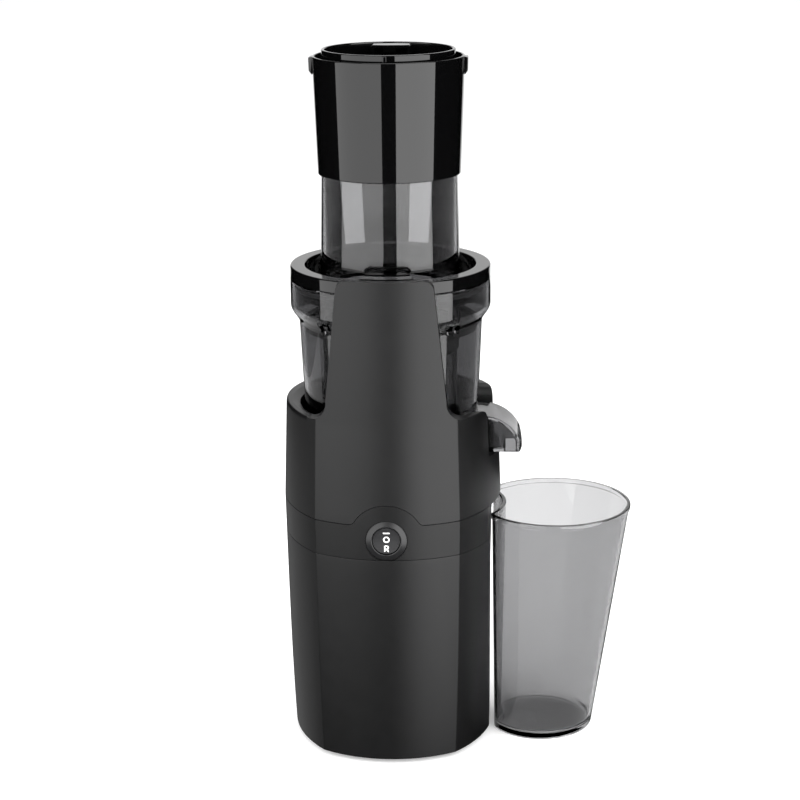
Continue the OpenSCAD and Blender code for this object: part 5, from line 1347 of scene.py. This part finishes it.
def grip_tab(side):
    outline = [
        (COLLAR_TOP_R - 1, COLLAR_TOP_Z - 0.4),
        (COLLAR_TOP_R + 2, COLLAR_TOP_Z - 0.9),
        (COLLAR_TOP_R + 1.8, COLLAR_TOP_Z - 9),
        (COLLAR_TOP_R - 0.2, COLLAR_TOP_Z - 11.5),
    ]
    tab = plate("tab", [(side * x, z) for x, z in outline], -5, 5, "Y")
    return rounded(tab, 0.5, 30)


carved(collar, joins=[grip_tab(1), grip_tab(-1)])
finish_piece(shaded(collar, 30), gloss_black, "lid", "gloss_black", "feed_collar")


# Pusher: a deep glossy black cup that slides in the feed tube. A hollow handle bridges its rear
# rim with a bowed front, and a small rib at the front keeps it from turning.
PUSHER_SEAT_Z, PUSHER_TOP_Z, PUSHER_FLOOR_Z = 424.5, 439.2, 368.5
PUSHER_R, PUSHER_RING_R, PUSHER_WALL, FLANGE_T, HANDLE_W, HANDLE_Y = 39.6, 40.6, 2.0, 2.0, 24.0, 23.0
ring_in_r, cup_in_r = PUSHER_RING_R - PUSHER_WALL, PUSHER_R - PUSHER_WALL
pusher_profile = [(0, PUSHER_FLOOR_Z)]
pusher_profile += corner((PUSHER_R - 1.5, PUSHER_FLOOR_Z + 1.5), 1.5, -90, 0)
pusher_profile += [(PUSHER_R, PUSHER_SEAT_Z)]
pusher_profile += [
    (CHUTE_BORE_R + 2.7, PUSHER_SEAT_Z),
    (CHUTE_BORE_R + 3, PUSHER_SEAT_Z + 0.3),
    (CHUTE_BORE_R + 3, PUSHER_SEAT_Z + FLANGE_T - 0.3),
    (CHUTE_BORE_R + 2.7, PUSHER_SEAT_Z + FLANGE_T),
    (PUSHER_RING_R, PUSHER_SEAT_Z + FLANGE_T),
]
pusher_profile += corner((PUSHER_RING_R - 0.8, PUSHER_TOP_Z - 0.8), 0.8, 0, 90)
pusher_profile += corner((ring_in_r + 0.6, PUSHER_TOP_Z - 0.6), 0.6, 90, 180, 4)
pusher_profile += [(cup_in_r, PUSHER_SEAT_Z)]
pusher_profile += corner((cup_in_r - 3, PUSHER_FLOOR_Z + PUSHER_WALL + 3), 3.0, 0, -90)
pusher_profile += [(0, PUSHER_FLOOR_Z + PUSHER_WALL)]
pusher = turned("pusher_cup", pusher_profile, 192)
bar_top, bar_low = PUSHER_TOP_Z - 0.6, PUSHER_SEAT_Z
grip = block("grip", (-HANDLE_W / 2, -60, bar_low), (HANDLE_W / 2, 60, bar_top))
rounded(grip, 1.2, 40, 3)
hollow = block(
    "hollow",
    (-HANDLE_W / 2 + PUSHER_WALL, -61, bar_low - 1),
    (HANDLE_W / 2 - PUSHER_WALL, 61, bar_top - PUSHER_WALL),
)
reach = round_bar("reach", PUSHER_RING_R - 1, bar_low - 5, bar_top + 5, steps=192)
bow = round_bar("bow", CHUTE_BORE_R, bar_low - 5, bar_top + 5, centre=(0, HANDLE_Y + CHUTE_BORE_R), steps=192)
carved(grip, cuts=[hollow], keep=[reach, bow])
rounded(grip, 0.4, 50)
rib = block(
    "rib",
    (-1.2, -PUSHER_RING_R - 1.4, PUSHER_SEAT_Z + FLANGE_T - 0.2),
    (1.2, -PUSHER_RING_R + 1, PUSHER_TOP_Z - 0.6),
)
rounded(rib, 0.4, 40)
carved(pusher, joins=[grip, rib])
finish_piece(shaded(pusher, 30), gloss_black, "pusher", "gloss_black", "pusher")


# Juice cup: a tall clear tumbler, widest at its mouth, whose inner side is hollowed to nest
# against the casing. A bead stiffens the mouth and a small step rings the underside.
CUP_H, CUP_Y, CUP_HOLLOW_X, CUP_HOLLOW_R, CUP_CORNER_R, CUP_WALL = 151.0, 6.7, 70.6, 42.0, 8.0, 2.0
CUP_MOUTH_X, CUP_MOUTH_R, CUP_BASE_X, CUP_BASE_R, CUP_FLOOR_T = 103.1, 48.3, 95.1, 34.0, 3.0
CUP_BEAD_H, CUP_BEAD_OUT, CUP_LEAN = 3.4, 0.6, 2.5
cup_clear = clear_plastic("cup_clear", (0.485, 0.485, 0.49), 0.0, 0.003)


def cup_plan(z, inset, round_steps=44, small_steps=8):
    """The cup's plan at one height: a round side, and a hollow side between two soft edges."""
    share = z / CUP_H
    centre = (CUP_BASE_X + (CUP_MOUTH_X - CUP_BASE_X) * share, 0.0)
    big_r = CUP_BASE_R + (CUP_MOUTH_R - CUP_BASE_R) * share - inset
    hollow_c, hollow_r = (CUP_HOLLOW_X - CUP_HOLLOW_R - CUP_LEAN * (1 - share), 0.0), CUP_HOLLOW_R + inset
    small_r = max(CUP_CORNER_R - inset, 1.0)
    soft = circles_meet(centre, big_r - small_r, hollow_c, hollow_r + small_r, -1)
    out, back = atan2(soft[1], soft[0] - centre[0]), atan2(-soft[1], hollow_c[0] - soft[0])
    half = arc_points(centre, big_r, 0, out, round_steps)
    half += arc_points(soft, small_r, out, back + (2 * pi if back < out else 0), small_steps)[1:-1]
    half += arc_points(hollow_c, hollow_r, atan2(soft[1], soft[0] - hollow_c[0]), 0, small_steps)
    return [(x, CUP_Y + y, z) for x, y in half] + [(x, CUP_Y - y, z) for x, y in half[-2:0:-1]]


bead_z = CUP_H - CUP_BEAD_H
cup_rings = [
    cup_plan(z, inset)
    for z, inset in (
        (0.5, 3.2), (0.0, 2.8), (0.0, 1.4), (0.4, 0.5), (1.2, 0.1), (2.5, 0), (bead_z - 0.5, 0)
    )
]
cup_rings += [
    cup_plan(bead_z + 0.6 - 0.6 * cos(radians(a)), -CUP_BEAD_OUT * sin(radians(a)))
    for a in (20, 45, 70, 90)
]
for a in (0, 30, 60, 90):
    lip_in = (CUP_BEAD_OUT + 0.4) * (1 - cos(radians(a)))
    cup_rings.append(cup_plan(CUP_H - 0.9 + 0.9 * sin(radians(a)), lip_in - CUP_BEAD_OUT))
cup_rings += [cup_plan(CUP_H, CUP_WALL - 0.4), cup_plan(CUP_H - 0.4, CUP_WALL)]
cup_rings += [
    cup_plan(CUP_FLOOR_T + 4 - 4 * sin(radians(a)), CUP_WALL + 4 - 4 * cos(radians(a)))
    for a in range(0, 91, 15)
]
juice_cup = stacked("juice_cup_shell", cup_rings)
finish_piece(shaded(juice_cup, 30), cup_clear, "cup", "cup_clear", "juice_cup")
